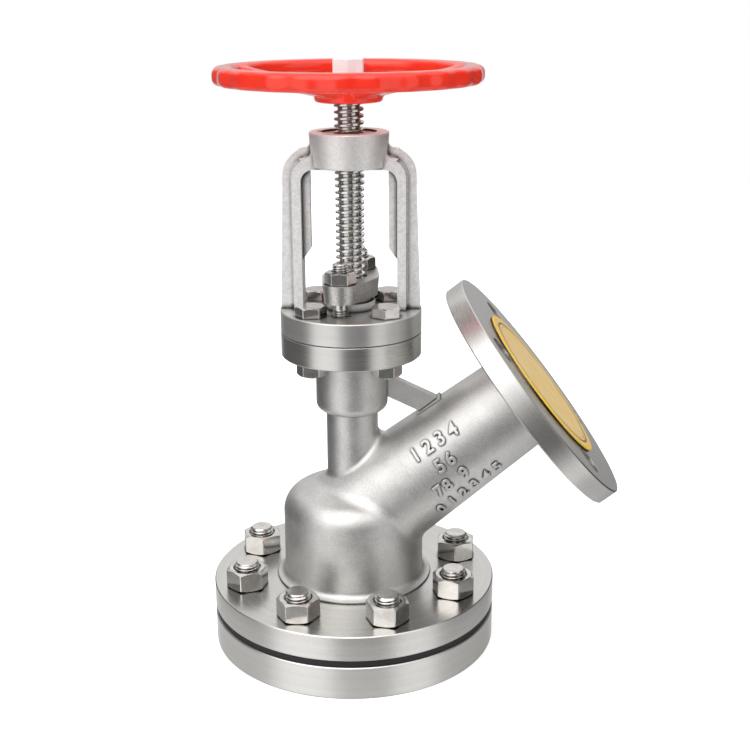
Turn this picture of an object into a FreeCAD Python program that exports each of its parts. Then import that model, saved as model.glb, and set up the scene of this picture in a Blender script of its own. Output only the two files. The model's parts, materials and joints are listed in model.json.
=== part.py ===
import FreeCAD
import Part
import math
import os

# Discharge valve: a slanting-outlet globe valve that closes flush with a vessel's bottom.
# It stands on its vessel flange. Millimetres, +Z up along the stem, outlet branch in the XZ plane.
# The origin is the centre of the vessel flange's lower face, where the closed disc ends flush.
V = FreeCAD.Vector
Z_AXIS = V(0, 0, 1)

# Vessel end: flange pair, gasket and studs
END_FLANGE_R = 92.5
END_PITCH_R = 72.5
END_BOLTS = 8
END_HOLE_R = 9.0
TANK_FLANGE_T = 21.2
GASKET_T = 4.4
GASKET_RECESS = 1.0
BODY_FLANGE_T = 16.5
EDGE_BREAK = 0.6
END_TURN = -2.5
STUD_R = 8.0
STUD_TAP_FLOOR = 4.0
STUD_SHOW = 4.0
END_NUT_AF = 23.8
END_NUT_H = 13.0
END_NUT_TURNS = [28, 12, 37, 41, 19, 1, -8, -16]

# Body: chamber, neck and collar
CHAMBER_R = 45.5
CHAMBER_WALL = 7.0
SHOULDER_Z = 97.5
SHOULDER_FILLET = 16.0
ROOF_T = 8.0
FOOT_RING_W = 4.9
FOOT_STEP = 1.2
FOOT_FILLET = 4.6
NECK_R = 16.5
NECK_FOOT_Z = 111.0
NECK_BORE_R = 12.5
NECK_FILLET = 4.5
COLLAR_R = 22.9
COLLAR_Z = 156.0
COLLAR_FILLET = 6.0
COLLAR_FLOOR = 6.0
NECK_JOIN_Z = 142.0

# Bonnet joint
JOINT_Z = 208.6
JOINT_FLANGE_R = 44.3
NECK_FLANGE_T = 15.0
BONNET_FLANGE_T = 14.4
BONNET_PITCH_R = 32.5
BONNET_HOLE_R = 5.5
BONNET_BOLT_R = 5.0
BONNET_AF = 17.0
BONNET_HEAD_H = 6.4
BONNET_NUT_H = 8.0
BOLT_SHOW = 1.6
JOINT_GASKET_T = 1.0
JOINT_GASKET_R = 27.0
SPIGOT_R = 16.8
SPIGOT_GAP = 0.2

# Branch and outlet flange
BRANCH_ANGLE = 38.05
BRANCH_Z = 79.7
BRANCH_LENGTH = 152.4
BRANCH_ROOT_R = 36.5
BRANCH_NOSE = 3.0
BRANCH_END_R = 29.8
BRANCH_JOIN = 56.0
BRANCH_CLEAR_R = 42.0
OUTLET_BORE_R = 25.0
OUTLET_FLANGE_R = 82.5
OUTLET_FLANGE_T = 13.0
OUTLET_PITCH_R = 62.5
OUTLET_HOLE_R = 9.0
OUTLET_HOLES = 4
RAISED_FACE_R = 51.5
RAISED_FACE_T = 1.0
BRACE_T = 8.0
BRACE_DEPTH = 12.7
BRACE_TOP_Z = 179.5
BRACE_SLOPE = 25.3
BRACE_ROOT = 3.0
BRACE_REACH = 34.6
BRACE_PAD_S = 88.0
BRACE_PAD_LENGTH = 18.0
BRACE_PAD_W = 12.0
BRACE_PAD_RISE = 0.8
BRACE_PAD_ROOT = 4.0
BRANCH_FILLET = 13.0

# Stuffing box, packing and gland
BOX_BOSS_R = 15.3
BOX_BOSS_H = 5.3
BOX_R = 13.0
BOX_FLOOR_Z = 176.0
BOX_FLOOR_T = 3.0
BUSH_R = 12.5
BUSH_LENGTH = 10.0
PACKING_RINGS = 4
PACKING_RING_H = 7.0
WASHER_T = 3.0
GLAND_TAKE_UP = 3.5
GLAND_T = 11.5
GLAND_MID_R = 17.8
GLAND_LOBE_R = 11.0
GLAND_DRAFT = 1.0
GLAND_BORE_GAP = 1.5
GLAND_PITCH_R = 23.3
GLAND_TURN = -12.0
GLAND_STUD_R = 5.0
GLAND_HOLE_R = 5.5
GLAND_STUD_SHOW = 5.0
GLAND_STUD_DEPTH = 10.5
GLAND_NUT_AF = 17.0
GLAND_NUT_H = 8.0
GLAND_SPOT_R = 10.0
GLAND_SPOT_DEPTH = 0.5
FOLLOWER_COLLAR_R = 14.5
FOLLOWER_COLLAR_H = 5.5

# Yoke
ARM_INNER_X = 29.2
ARM_PLATE_T = 5.4
ARM_WIDTH = 19.0
ARM_RIB_T = 7.0
ARM_RIB_TOP_X = 40.1
ARM_RIB_FOOT_X = 43.5
ARM_RIB_ROOT_R = 1.5
ARM_ARCH_Z = 304.8
ARM_INNER_RIB_X = 24.0
ARM_INNER_RIB_Z = 254.0
ARM_INNER_RIB_T = 7.0
ARM_INNER_RIB_RISE = 7.0
ARM_TOP_DROP = 9.4
PLATE_TOP_DROP = 14.7
ARM_BLEND_R = 3.5
ARM_BLEND_SLOPE = 8.0
PLATE_ARCH_R = 13.0
WINDOW_ARCH_R = 8.0
BOSS_TOP_Z = 332.0
BOSS_H = 21.0
BOSS_TOP_R = 24.3
BOSS_FOOT_R = 23.1
BOSS_EDGE_R = 1.0
BOSS_RECESS = 4.5
STEM_NUT_R = 14.0
STEM_NUT_COLLAR_R = 17.0
STEM_NUT_COLLAR_H = 3.4
LOCK_SCREW_R = 2.5
LOCK_SCREW_LENGTH = 8.0

# Stem
STEM_R = 9.0
STEM_COLLAR_R = 11.5
STEM_COLLAR_H = 8.0
STEM_HEAD_R = 12.0
STEM_HEAD_H = 5.7
STEM_BORE_GAP = 0.9
BACKSEAT_CONE_H = 2.0
STEM_TOP_R = 6.0
SQUARE_AF = 12.0
LIFT = 36.0

# Seat and disc
SEAT_Z = 6.0
SEAT_R = 37.0
SEAT_BORE_R = 28.5
SEAT_CONE_Z = 11.0
SEAT_CONE_H = 5.0
SEAT_GUARD_R = 35.0
PLATE_T = 9.0
PLATE_GAP = 0.6
PLATE_CHAMFER = 0.5
SEAL_T = 6.0
SEAL_INNER_R = 20.0
DISC_R = 33.4
DISC_T = 9.0
DISC_BOSS_R = 18.0
DISC_BOSS_H = 16.0
DISC_BOSS_ROOT = 3.0
DISC_CHAMFER = 2.0
POCKET_R = 12.6
POCKET_FLOOR = 4.0
DISC_NUT_HEAD_H = 6.0
DISC_NUT_AF = 32.0
PLATE_SCREWS = 3
PLATE_SCREW_R = 3.0
PLATE_SCREW_PITCH_R = 14.0
PLATE_SCREW_LENGTH = 14.0

# Handwheel
WHEEL_R = 81.0
WHEEL_TOP_Z = 370.7
RIM_H = 10.8
RIM_W = 13.0
RIM_OUTER_FILLET = 4.4
RIM_INNER_FILLET = 3.5
HUB_Z = 349.3
HUB_H = 12.2
HUB_R = 22.0
SPOKES = 5
SPOKE_HUB_W = 16.0
SPOKE_ROOT = 4.0
SPOKE_RIM_W = 11.0
SPOKE_T = 7.0
SPOKE_CORNER = 2.5
SPOKE_DROP = 0.5
HUB_CHAMFER = 2.0
SCALLOPS = 24
SCALLOP_DEPTH = 1.1
WHEEL_WASHER_R = 12.0
WHEEL_WASHER_T = 2.0
WHEEL_NUT_AF = 18.0
WHEEL_NUT_H = 10.8

# Outlet cover
COVER_R = 52.3
COVER_T = 0.8
COVER_PLUG_T = 1.6
COVER_PLUG_DEPTH = 8.0
COVER_GROOVE_R = 46.0
COVER_GROOVE_W = 1.2
COVER_GROOVE_DEPTH = 0.3
COVER_EDGE = 0.3

# Shapes of threaded ends and hexagons, as shares of their radius
THREAD_CHAMFER = 0.12
HEX_LAND = 0.95

# Clearances, and how far one form starts inside another or a cut runs past it
RUN_FIT = 0.05
MOVE_GAP = 0.3
HAND_GAP = 0.1
OVERLAP = 1.0

# Levels that follow from the sizes above
gasket_z = TANK_FLANGE_T
flange_z = gasket_z + GASKET_T
flange_top = flange_z + BODY_FLANGE_T
chamber_r = CHAMBER_R - CHAMBER_WALL
roof_rise = (NECK_FOOT_Z - SHOULDER_Z) / (CHAMBER_R - NECK_R)
apex_z = SHOULDER_Z + CHAMBER_R * roof_rise
neck_flange_z = JOINT_Z - NECK_FLANGE_T
bonnet_top = JOINT_Z + BONNET_FLANGE_T
box_top = bonnet_top + BOX_BOSS_H
gland_z = box_top + GLAND_TAKE_UP
gland_top = gland_z + GLAND_T
gland_nut_z = gland_top - GLAND_SPOT_DEPTH
packing_z = BOX_FLOOR_Z + WASHER_T
packing_top = packing_z + PACKING_RINGS * PACKING_RING_H
spigot_z = BOX_FLOOR_Z - BOX_FLOOR_T - BUSH_LENGTH
boss_z = BOSS_TOP_Z - BOSS_H
rib_top = BOSS_TOP_Z - ARM_TOP_DROP
plate_top = BOSS_TOP_Z - PLATE_TOP_DROP
hub_top = HUB_Z + HUB_H
wheel_nut_z = hub_top + WHEEL_WASHER_T
disc_z = PLATE_T + SEAL_T
disc_top = disc_z + DISC_T
disc_boss_top = disc_top + DISC_BOSS_H
pocket_z = disc_top + POCKET_FLOOR
head_z = pocket_z + MOVE_GAP
head_top = head_z + STEM_HEAD_H
stem_collar_top = spigot_z - LIFT - MOVE_GAP
cover_s = BRANCH_LENGTH + RAISED_FACE_T
branch_end_s = BRANCH_LENGTH - OUTLET_FLANGE_T / 2
branch_taper = (BRANCH_ROOT_R - BRANCH_END_R) / branch_end_s
brace_pad_top = BRANCH_ROOT_R - branch_taper * BRACE_PAD_S + BRACE_PAD_RISE
plate_r = SEAT_BORE_R - PLATE_GAP
stem_nut_top = BOSS_TOP_Z - BOSS_RECESS + STEM_NUT_COLLAR_H


def rounded_face(corners):
    """A closed face in the XZ plane from corners (x, z, radius), with tangent arcs at the corners."""
    points = [V(x, 0, z) for x, z, r in corners]
    ends = []
    for i, (x, z, radius) in enumerate(corners):
        here = points[i]
        back = points[i - 1] - here
        ahead = points[(i + 1) % len(points)] - here
        back.normalize()
        ahead.normalize()
        if radius <= 0:
            ends.append((here, None, here))
            continue
        half = back.getAngle(ahead) / 2
        reach = radius / math.tan(half)
        middle = back + ahead
        middle.normalize()
        inset = radius / math.sin(half) - radius
        ends.append((here + back * reach, here + middle * inset, here + ahead * reach))
    edges = []
    for i, (start, mid, end) in enumerate(ends):
        if mid is not None:
            edges.append(Part.Arc(start, mid, end).toShape())
        next_start = ends[(i + 1) % len(ends)][0]
        if (next_start - end).Length > 1e-6:
            edges.append(Part.LineSegment(end, next_start).toShape())
    return Part.Face(Part.Wire(edges))


def turned(corners):
    """A solid of revolution about the stem axis."""
    return rounded_face(corners).revolve(V(0, 0, 0), Z_AXIS, 360)


def slab(corners, thickness):
    """A plate of an XZ outline, centred on the XZ plane."""
    plate = rounded_face(corners).extrude(V(0, thickness, 0))
    plate.translate(V(0, -thickness / 2, 0))
    return plate


def rod(radius, low, high, x=0.0, y=0.0):
    return Part.makeCylinder(radius, high - low, V(x, y, low))


def tube(outer, inner, low, high):
    return rod(outer, low, high).cut(rod(inner, low, high))


def on_circle(radius, count, start=None):
    """Places around the axis; without a start angle they straddle the branch plane."""
    step = 360.0 / count
    first = step / 2 if start is None else start
    angles = [math.radians(first + step * i) for i in range(count)]
    return [(radius * math.cos(a), radius * math.sin(a)) for a in angles]


def turned_about_z(shape, degrees):
    shape.rotate(V(0, 0, 0), Z_AXIS, degrees)
    return shape


def on_branch(shape):
    """Moves a shape made along +Z from the origin to the branch axis."""
    shape.rotate(V(0, 0, 0), V(0, 1, 0), 90 - BRANCH_ANGLE)
    shape.translate(V(0, 0, BRANCH_Z))
    return shape


def hexagon(across_flats, low, high, x=0.0, y=0.0, turn=0.0, chamfer_top=True, chamfer_foot=False):
    """A hexagon prism with the usual 30 degree chamfers; unturned, its flats face +Y and -Y."""
    corner_r = across_flats / math.sqrt(3)
    corners = [V(corner_r * math.cos(math.radians(60 * i)), corner_r * math.sin(math.radians(60 * i)), low)
               for i in range(6)]
    prism = Part.Face(Part.makePolygon(corners + corners[:1])).extrude(V(0, 0, high - low))
    land_r = HEX_LAND * across_flats / 2
    outer_r = corner_r + OVERLAP
    drop = (outer_r - land_r) * math.tan(math.radians(30))
    outline = [(0, low, 0), (outer_r, low, 0), (outer_r, high, 0), (0, high, 0)]
    if chamfer_top:
        outline[2:3] = [(outer_r, high - drop, 0), (land_r, high, 0)]
    if chamfer_foot:
        outline[1:2] = [(land_r, low, 0), (outer_r, low + drop, 0)]
    prism = turned_about_z(prism.common(turned(outline)), turn)
    prism.translate(V(x, y, 0))
    return prism


def nut(across_flats, bore_r, low, high, x=0.0, y=0.0, **form):
    return hexagon(across_flats, low, high, x, y, **form).cut(rod(bore_r, low, high, x, y))


def stud(radius, low, high, x, y):
    """A stud with a chamfered upper end."""
    chamfer = radius * THREAD_CHAMFER
    body = turned([(0, low, 0), (radius, low, 0), (radius, high - chamfer, 0), (radius - chamfer, high, 0),
                   (0, high, 0)])
    body.translate(V(x, y, 0))
    return body


def bored(shape, places, radius, low, high):
    for x, y in places:
        shape = shape.cut(rod(radius, low, high, x, y))
    return shape


END_PLACES = on_circle(END_PITCH_R, END_BOLTS, 180.0 / END_BOLTS + END_TURN)
BONNET_PLACES = on_circle(BONNET_PITCH_R, 4)
GLAND_PLACES = on_circle(GLAND_PITCH_R, 2, 90 + GLAND_TURN)


def make_tank_flange():
    flange = turned([(SEAT_BORE_R, 0, 0), (END_FLANGE_R - EDGE_BREAK, 0, 0), (END_FLANGE_R, EDGE_BREAK, 0),
                     (END_FLANGE_R, TANK_FLANGE_T - EDGE_BREAK, 0),
                     (END_FLANGE_R - EDGE_BREAK, TANK_FLANGE_T, 0), (SEAT_R, TANK_FLANGE_T, 0),
                     (SEAT_R, SEAT_Z, 0), (SEAT_BORE_R, SEAT_Z, 0)])
    return bored(flange, END_PLACES, STUD_R, STUD_TAP_FLOOR, TANK_FLANGE_T)


def make_flange_gasket():
    gasket = tube(END_FLANGE_R - GASKET_RECESS, chamber_r, gasket_z, flange_z)
    return bored(gasket, END_PLACES, END_HOLE_R, gasket_z, flange_z)


def make_seat_ring():
    cone_top_r = SEAT_BORE_R + SEAT_CONE_H
    return turned([(SEAT_BORE_R, SEAT_Z, 0), (SEAT_R, SEAT_Z, 0), (SEAT_R, TANK_FLANGE_T, 0),
                   (SEAT_GUARD_R, TANK_FLANGE_T, 0), (SEAT_GUARD_R, SEAT_CONE_Z + SEAT_CONE_H, 0),
                   (cone_top_r, SEAT_CONE_Z + SEAT_CONE_H, 0), (SEAT_BORE_R, SEAT_CONE_Z, 0)])


# The real body is one casting. It is made whole here, and then shared out at two flat sections, across
# the neck and across the branch, into three solids that lie face to face.
def casting():
    """The whole casting, hollow inside: end flange, chamber, neck, collar, branch and outlet flange."""
    branch = on_branch(turned([(0, -BRANCH_NOSE, 0), (branch_radius(-BRANCH_NOSE), -BRANCH_NOSE, 0),
                               (BRANCH_END_R, branch_end_s, 0), (0, branch_end_s, 0)]))
    form = chamber_shell().fuse(branch)
    form = form.makeFillet(BRANCH_FILLET, branch_seams(form))
    form = form.fuse(neck())
    form = form.makeFillet(NECK_FILLET, neck_seams(form))
    form = form.fuse([on_branch(outlet_flange()), on_branch(brace_pad())])
    form = form.cut(chamber_space())
    form = form.cut(on_branch(rod(OUTLET_BORE_R, 0, cover_s + OVERLAP)))
    form = bored(form, END_PLACES, END_HOLE_R, flange_z, flange_top)
    form = bored(form, BONNET_PLACES, BONNET_HOLE_R, neck_flange_z, JOINT_Z)
    gasket_seat = tube(JOINT_GASKET_R, SPIGOT_R, JOINT_Z - JOINT_GASKET_T, JOINT_Z)
    return form.cut(gasket_seat).removeSplitter()


def branch_room():
    """The space of the casting that belongs to the outlet branch."""
    flange_room = OUTLET_FLANGE_R + OVERLAP
    flange_room_s = BRANCH_LENGTH - OUTLET_FLANGE_T
    return on_branch(turned([(0, BRANCH_JOIN, 0), (BRANCH_CLEAR_R, BRANCH_JOIN, 0),
                             (BRANCH_CLEAR_R, flange_room_s, 0), (flange_room, flange_room_s, 0),
                             (flange_room, cover_s + OVERLAP, 0), (0, cover_s + OVERLAP, 0)]))


def neck_room():
    """The space of the casting that belongs to the neck."""
    return rod(JOINT_FLANGE_R + OVERLAP, NECK_JOIN_Z, JOINT_Z)


def make_valve_body():
    """End flange and chamber, with the roots of the branch and the neck."""
    return casting().cut(branch_room()).cut(neck_room())


def make_body_neck():
    """Neck, collar and neck flange, and the brace down to the branch."""
    return casting().cut(branch_room()).common(neck_room()).fuse(brace_bar())


def make_outlet_branch():
    """The slanting branch from its join to the outlet flange, with the pad that the brace stands on."""
    return casting().common(branch_room())


def branch_radius(s):
    """Outside radius of the branch at a distance s along its axis."""
    return BRANCH_ROOT_R - branch_taper * s


def chamber_shell():
    """End flange, foot ring and chamber, closed by the cone that the neck stands on."""
    foot_r = CHAMBER_R + FOOT_RING_W
    foot_top = flange_top + FOOT_STEP
    return turned([(0, flange_z, 0), (END_FLANGE_R - EDGE_BREAK, flange_z, 0),
                   (END_FLANGE_R, flange_z + EDGE_BREAK, 0), (END_FLANGE_R, flange_top - EDGE_BREAK, 0),
                   (END_FLANGE_R - EDGE_BREAK, flange_top, 0), (foot_r, flange_top, 0), (foot_r, foot_top, 0),
                   (CHAMBER_R, foot_top, min(FOOT_FILLET, FOOT_RING_W - HAND_GAP)),
                   (CHAMBER_R, SHOULDER_Z, SHOULDER_FILLET), (0, apex_z, 0)])


def neck():
    """Neck, collar and neck flange."""
    return turned([(0, SHOULDER_Z, 0), (NECK_R, SHOULDER_Z, 0), (NECK_R, COLLAR_Z, 0),
                   (COLLAR_R, COLLAR_Z, COLLAR_FILLET), (COLLAR_R, neck_flange_z, 0),
                   (JOINT_FLANGE_R - EDGE_BREAK, neck_flange_z, 0),
                   (JOINT_FLANGE_R, neck_flange_z + EDGE_BREAK, 0), (JOINT_FLANGE_R, JOINT_Z - EDGE_BREAK, 0),
                   (JOINT_FLANGE_R - EDGE_BREAK, JOINT_Z, 0), (0, JOINT_Z, 0)])


def branch_seams(casting):
    """The edges where the branch leaves the chamber and its roof."""
    seams = []
    for edge in casting.Edges:
        box = edge.BoundBox
        above = box.ZMin > flange_top + FOOT_STEP
        round_or_straight = edge.Curve.TypeId in ("Part::GeomCircle", "Part::GeomLine")
        if above and not round_or_straight:
            seams.append(edge)
    return seams


def neck_seams(casting):
    """The edges where the neck leaves the roof and the branch."""
    seams = []
    for edge in casting.Edges:
        span = edge.LastParameter - edge.FirstParameter
        places = [edge.valueAt(edge.FirstParameter + span * share) for share in (0.1, 0.5, 0.9)]
        on_neck = all(abs(math.hypot(p.x, p.y) - NECK_R) < 0.001 for p in places)
        upright = (places[0] - places[2]).cross(Z_AXIS).Length < 0.001
        if on_neck and not upright and edge.BoundBox.ZMax < COLLAR_Z - HAND_GAP:
            seams.append(edge)
    return seams


def outlet_flange():
    back = BRANCH_LENGTH - OUTLET_FLANGE_T
    rim = turned([(0, back, 0), (OUTLET_FLANGE_R - EDGE_BREAK, back, 0),
                  (OUTLET_FLANGE_R, back + EDGE_BREAK, 0), (OUTLET_FLANGE_R, BRANCH_LENGTH - EDGE_BREAK, 0),
                  (OUTLET_FLANGE_R - EDGE_BREAK, BRANCH_LENGTH, 0), (RAISED_FACE_R, BRANCH_LENGTH, 0),
                  (RAISED_FACE_R, cover_s, 0), (0, cover_s, 0)])
    places = on_circle(OUTLET_PITCH_R, OUTLET_HOLES)
    return bored(rim, places, OUTLET_HOLE_R, back, BRANCH_LENGTH)


def brace_pad():
    """The pad on the branch, in the branch's own frame."""
    return Part.makeBox(BRACE_PAD_ROOT, BRACE_PAD_W, BRACE_PAD_LENGTH,
                        V(-brace_pad_top, -BRACE_PAD_W / 2, BRACE_PAD_S - BRACE_PAD_LENGTH / 2))


def brace_bar():
    """The flat bar from the collar down to the pad."""
    slope = math.radians(BRACE_SLOPE)
    depth = BRACE_DEPTH / math.cos(slope)
    near = COLLAR_R - BRACE_ROOT
    far = near + BRACE_REACH
    drop = (far - near) * math.tan(slope)
    top_near = BRACE_TOP_Z + BRACE_ROOT * math.tan(slope)
    bar = slab([(near, top_near - depth, 0), (far, top_near - depth - drop, 0), (far, top_near - drop, 0),
                (near, top_near, 0)], BRACE_T)
    below_pad = Part.makeBox(brace_pad_top + BRANCH_CLEAR_R, BRACE_PAD_W, BRANCH_LENGTH,
                             V(-brace_pad_top, -BRACE_PAD_W / 2, 0))
    return bar.cut(on_branch(below_pad))


def chamber_space():
    """Everything hollow about the stem axis."""
    return turned([(0, flange_z, 0), (chamber_r, flange_z, 0),
                   (chamber_r, SHOULDER_Z - ROOF_T, SHOULDER_FILLET - CHAMBER_WALL),
                   (NECK_BORE_R, NECK_FOOT_Z - ROOF_T, 0), (NECK_BORE_R, COLLAR_Z + COLLAR_FLOOR, 0),
                   (SPIGOT_R + SPIGOT_GAP, COLLAR_Z + COLLAR_FLOOR, 0), (SPIGOT_R + SPIGOT_GAP, JOINT_Z, 0),
                   (0, JOINT_Z, 0)])


def make_flange_studs():
    end = flange_top + END_NUT_H + STUD_SHOW
    return [stud(STUD_R, STUD_TAP_FLOOR, end, x, y) for x, y in END_PLACES]


def make_flange_nuts():
    """Each nut has stopped at its own turn."""
    turns = [END_NUT_TURNS[i % len(END_NUT_TURNS)] for i in range(END_BOLTS)]
    return [nut(END_NUT_AF, STUD_R, flange_top, flange_top + END_NUT_H, x, y, turn=turn)
            for (x, y), turn in zip(END_PLACES, turns)]


def make_bonnet_gasket():
    return tube(JOINT_GASKET_R, SPIGOT_R, JOINT_Z - JOINT_GASKET_T, JOINT_Z)


def make_bonnet_bolts():
    bolts = []
    for x, y in BONNET_PLACES:
        head = hexagon(BONNET_AF, bonnet_top, bonnet_top + BONNET_HEAD_H, x, y)
        shank = rod(BONNET_BOLT_R, neck_flange_z - BONNET_NUT_H - BOLT_SHOW, bonnet_top, x, y)
        bolts.append(head.fuse(shank))
    return bolts


def make_bonnet_nuts():
    low = neck_flange_z - BONNET_NUT_H
    return [nut(BONNET_AF, BONNET_BOLT_R, low, neck_flange_z, x, y, chamfer_top=False, chamfer_foot=True)
            for x, y in BONNET_PLACES]


def make_bonnet_yoke():
    """Bonnet flange with its spigot and stuffing box, the two arms and the boss for the stem nut."""
    flange = turned([(0, JOINT_Z, 0), (JOINT_FLANGE_R - EDGE_BREAK, JOINT_Z, 0),
                     (JOINT_FLANGE_R, JOINT_Z + EDGE_BREAK, 0), (JOINT_FLANGE_R, bonnet_top - EDGE_BREAK, 0),
                     (JOINT_FLANGE_R - EDGE_BREAK, bonnet_top, 0), (BOX_BOSS_R, bonnet_top, 0),
                     (BOX_BOSS_R, box_top, EDGE_BREAK), (0, box_top, 0)])
    spigot = rod(SPIGOT_R, spigot_z, JOINT_Z)
    boss = turned([(0, boss_z, 0), (BOSS_FOOT_R, boss_z, BOSS_EDGE_R), (BOSS_TOP_R, BOSS_TOP_Z, BOSS_EDGE_R),
                   (0, BOSS_TOP_Z, 0)])
    yoke = flange.fuse([spigot, boss, make_arm(), turned_about_z(make_arm(), 180), arm_blends()])
    yoke = yoke.cut(rod(BUSH_R, spigot_z, spigot_z + BUSH_LENGTH))
    yoke = yoke.cut(rod(STEM_R + STEM_BORE_GAP, spigot_z, BOX_FLOOR_Z))
    yoke = yoke.cut(rod(BOX_R, BOX_FLOOR_Z, box_top))
    yoke = yoke.cut(rod(STEM_NUT_R, boss_z, BOSS_TOP_Z))
    yoke = yoke.cut(rod(STEM_NUT_COLLAR_R, BOSS_TOP_Z - BOSS_RECESS, BOSS_TOP_Z))
    yoke = bored(yoke, BONNET_PLACES, BONNET_HOLE_R, JOINT_Z, bonnet_top)
    yoke = bored(yoke, GLAND_PLACES, GLAND_STUD_R, bonnet_top - GLAND_STUD_DEPTH, bonnet_top)
    return yoke.cut(lock_screw_hole()).removeSplitter()


def make_arm():
    """The arm on the +X side: a wide plate, a rib outside it and a short rib inside, arched into the boss."""
    foot = bonnet_top - OVERLAP
    plate_out = ARM_INNER_X + ARM_PLATE_T
    window_top = boss_z - OVERLAP
    plate = slab([(ARM_INNER_X, foot, 0), (plate_out, foot, 0), (plate_out, plate_top, PLATE_ARCH_R),
                  (STEM_NUT_R, plate_top, 0), (STEM_NUT_R, window_top, 0),
                  (ARM_INNER_X, window_top, WINDOW_ARCH_R)], ARM_WIDTH)
    rib_arch = rib_top - ARM_ARCH_Z
    rib = slab([(ARM_INNER_X, foot, 0), (ARM_RIB_FOOT_X, foot, 0), (ARM_RIB_TOP_X, rib_top, rib_arch),
                (STEM_NUT_R, rib_top, 0), (STEM_NUT_R, plate_top - OVERLAP, 0),
                (ARM_INNER_X, plate_top - OVERLAP, PLATE_ARCH_R - ARM_PLATE_T)], ARM_RIB_T)
    inner = slab([(ARM_INNER_RIB_X, boss_z + OVERLAP, 0),
                  (ARM_INNER_RIB_X, ARM_INNER_RIB_Z + ARM_INNER_RIB_RISE, EDGE_BREAK),
                  (ARM_INNER_X, ARM_INNER_RIB_Z, 0), (ARM_INNER_X + OVERLAP, ARM_INNER_RIB_Z, 0),
                  (ARM_INNER_X + OVERLAP, boss_z + OVERLAP, 0)], ARM_INNER_RIB_T)
    arm = plate.fuse([rib, inner])
    return arm.makeFillet(ARM_RIB_ROOT_R, rib_roots(arm))


def rib_roots(arm):
    """The edges where the outer rib stands on the plate."""
    roots = []
    for edge in arm.Edges:
        box = edge.BoundBox
        on_rib_side = abs(abs(box.YMin) - ARM_RIB_T / 2) < 0.001 and box.YLength < 0.001
        middle = edge.valueAt((edge.FirstParameter + edge.LastParameter) / 2)
        upright = abs(middle.x - ARM_INNER_X - ARM_PLATE_T) < 0.001 and box.ZMin < bonnet_top
        level = abs(middle.z - plate_top) < 0.001
        arched = edge.Curve.TypeId == "Part::GeomCircle" and abs(edge.Curve.Radius - PLATE_ARCH_R) < 0.001
        if on_rib_side and (upright or level or arched):
            roots.append(edge)
    return roots


def arm_blends():
    """Hollow fillets where the tops of the ribs and plates run into the side of the boss."""
    blends = []
    for top, width in ((rib_top, ARM_RIB_T), (plate_top, ARM_WIDTH)):
        wall_r = boss_radius(top)
        high = top + 2 * ARM_BLEND_R
        toe_r = wall_r + 2 * ARM_BLEND_R
        toe_drop = 2 * ARM_BLEND_R * math.tan(math.radians(ARM_BLEND_SLOPE))
        flare = turned([(STEM_NUT_COLLAR_R, top - 2 * OVERLAP, 0), (toe_r, top - toe_drop - OVERLAP, 0),
                        (toe_r, top - toe_drop, 0), (wall_r, top, ARM_BLEND_R),
                        (boss_radius(high) - RUN_FIT, high, 0), (STEM_NUT_COLLAR_R, high, 0)])
        across = Part.makeBox(2 * toe_r, width, 4 * ARM_BLEND_R, V(-toe_r, -width / 2, top - 2 * OVERLAP))
        blends.append(flare.common(across))
    return blends[0].fuse(blends[1])


def boss_radius(z):
    """Outside radius of the yoke's boss at a height."""
    return BOSS_FOOT_R + (BOSS_TOP_R - BOSS_FOOT_R) * (z - boss_z) / BOSS_H


def make_backseat_bush():
    return tube(BUSH_R, STEM_R + MOVE_GAP, spigot_z, spigot_z + BUSH_LENGTH)


def make_packing_washer():
    return tube(BOX_R - HAND_GAP, STEM_R + MOVE_GAP, BOX_FLOOR_Z, packing_z)


def make_packing_rings():
    return [tube(BOX_R - HAND_GAP, STEM_R + MOVE_GAP, packing_z + PACKING_RING_H * i,
                 packing_z + PACKING_RING_H * (i + 1)) for i in range(PACKING_RINGS)]


def make_gland_follower():
    collar_top = gland_z + FOLLOWER_COLLAR_H
    bore = STEM_R + MOVE_GAP
    sleeve_r = BOX_R - MOVE_GAP
    return turned([(bore, packing_top, 0), (sleeve_r, packing_top, 0), (sleeve_r, gland_z, 0),
                   (FOLLOWER_COLLAR_R, gland_z, 0), (FOLLOWER_COLLAR_R, collar_top, 0),
                   (bore, collar_top, 0)])


def make_gland_flange():
    """The lobed plate that two studs pull down on the follower, narrower at its foot."""
    plate = Part.makeLoft([lobed_wire(GLAND_DRAFT, gland_z), lobed_wire(0, gland_top)], True, True)
    plate = plate.cut(rod(FOLLOWER_COLLAR_R + HAND_GAP, gland_z, gland_z + FOLLOWER_COLLAR_H))
    plate = plate.cut(rod(STEM_R + GLAND_BORE_GAP, gland_z, gland_top))
    plate = bored(plate, GLAND_PLACES, GLAND_HOLE_R, gland_z, gland_top)
    return bored(plate, GLAND_PLACES, GLAND_SPOT_R, gland_nut_z, gland_top)


def lobed_wire(inset, z):
    """The plate's outline: a middle circle and two lobes joined by their common tangents."""
    heading = 90 + GLAND_TURN
    swing = math.degrees(math.acos((GLAND_MID_R - GLAND_LOBE_R) / GLAND_PITCH_R))
    lobe_r = GLAND_LOBE_R - inset
    mid_r = GLAND_MID_R - inset
    edges = []
    for side, (x, y) in enumerate(GLAND_PLACES):
        ahead = heading + 180 * side
        lobe = [circle_point(lobe_r, ahead + turn, z, x, y) for turn in (-swing, 0, swing)]
        middle = [circle_point(mid_r, ahead + turn, z) for turn in (swing, 90, 180 - swing)]
        edges.append(Part.Arc(*lobe).toShape())
        edges.append(Part.LineSegment(lobe[2], middle[0]).toShape())
        edges.append(Part.Arc(*middle).toShape())
        x2, y2 = GLAND_PLACES[1 - side]
        next_lobe = circle_point(lobe_r, ahead + 180 - swing, z, x2, y2)
        edges.append(Part.LineSegment(middle[2], next_lobe).toShape())
    return Part.Wire(edges)


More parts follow.
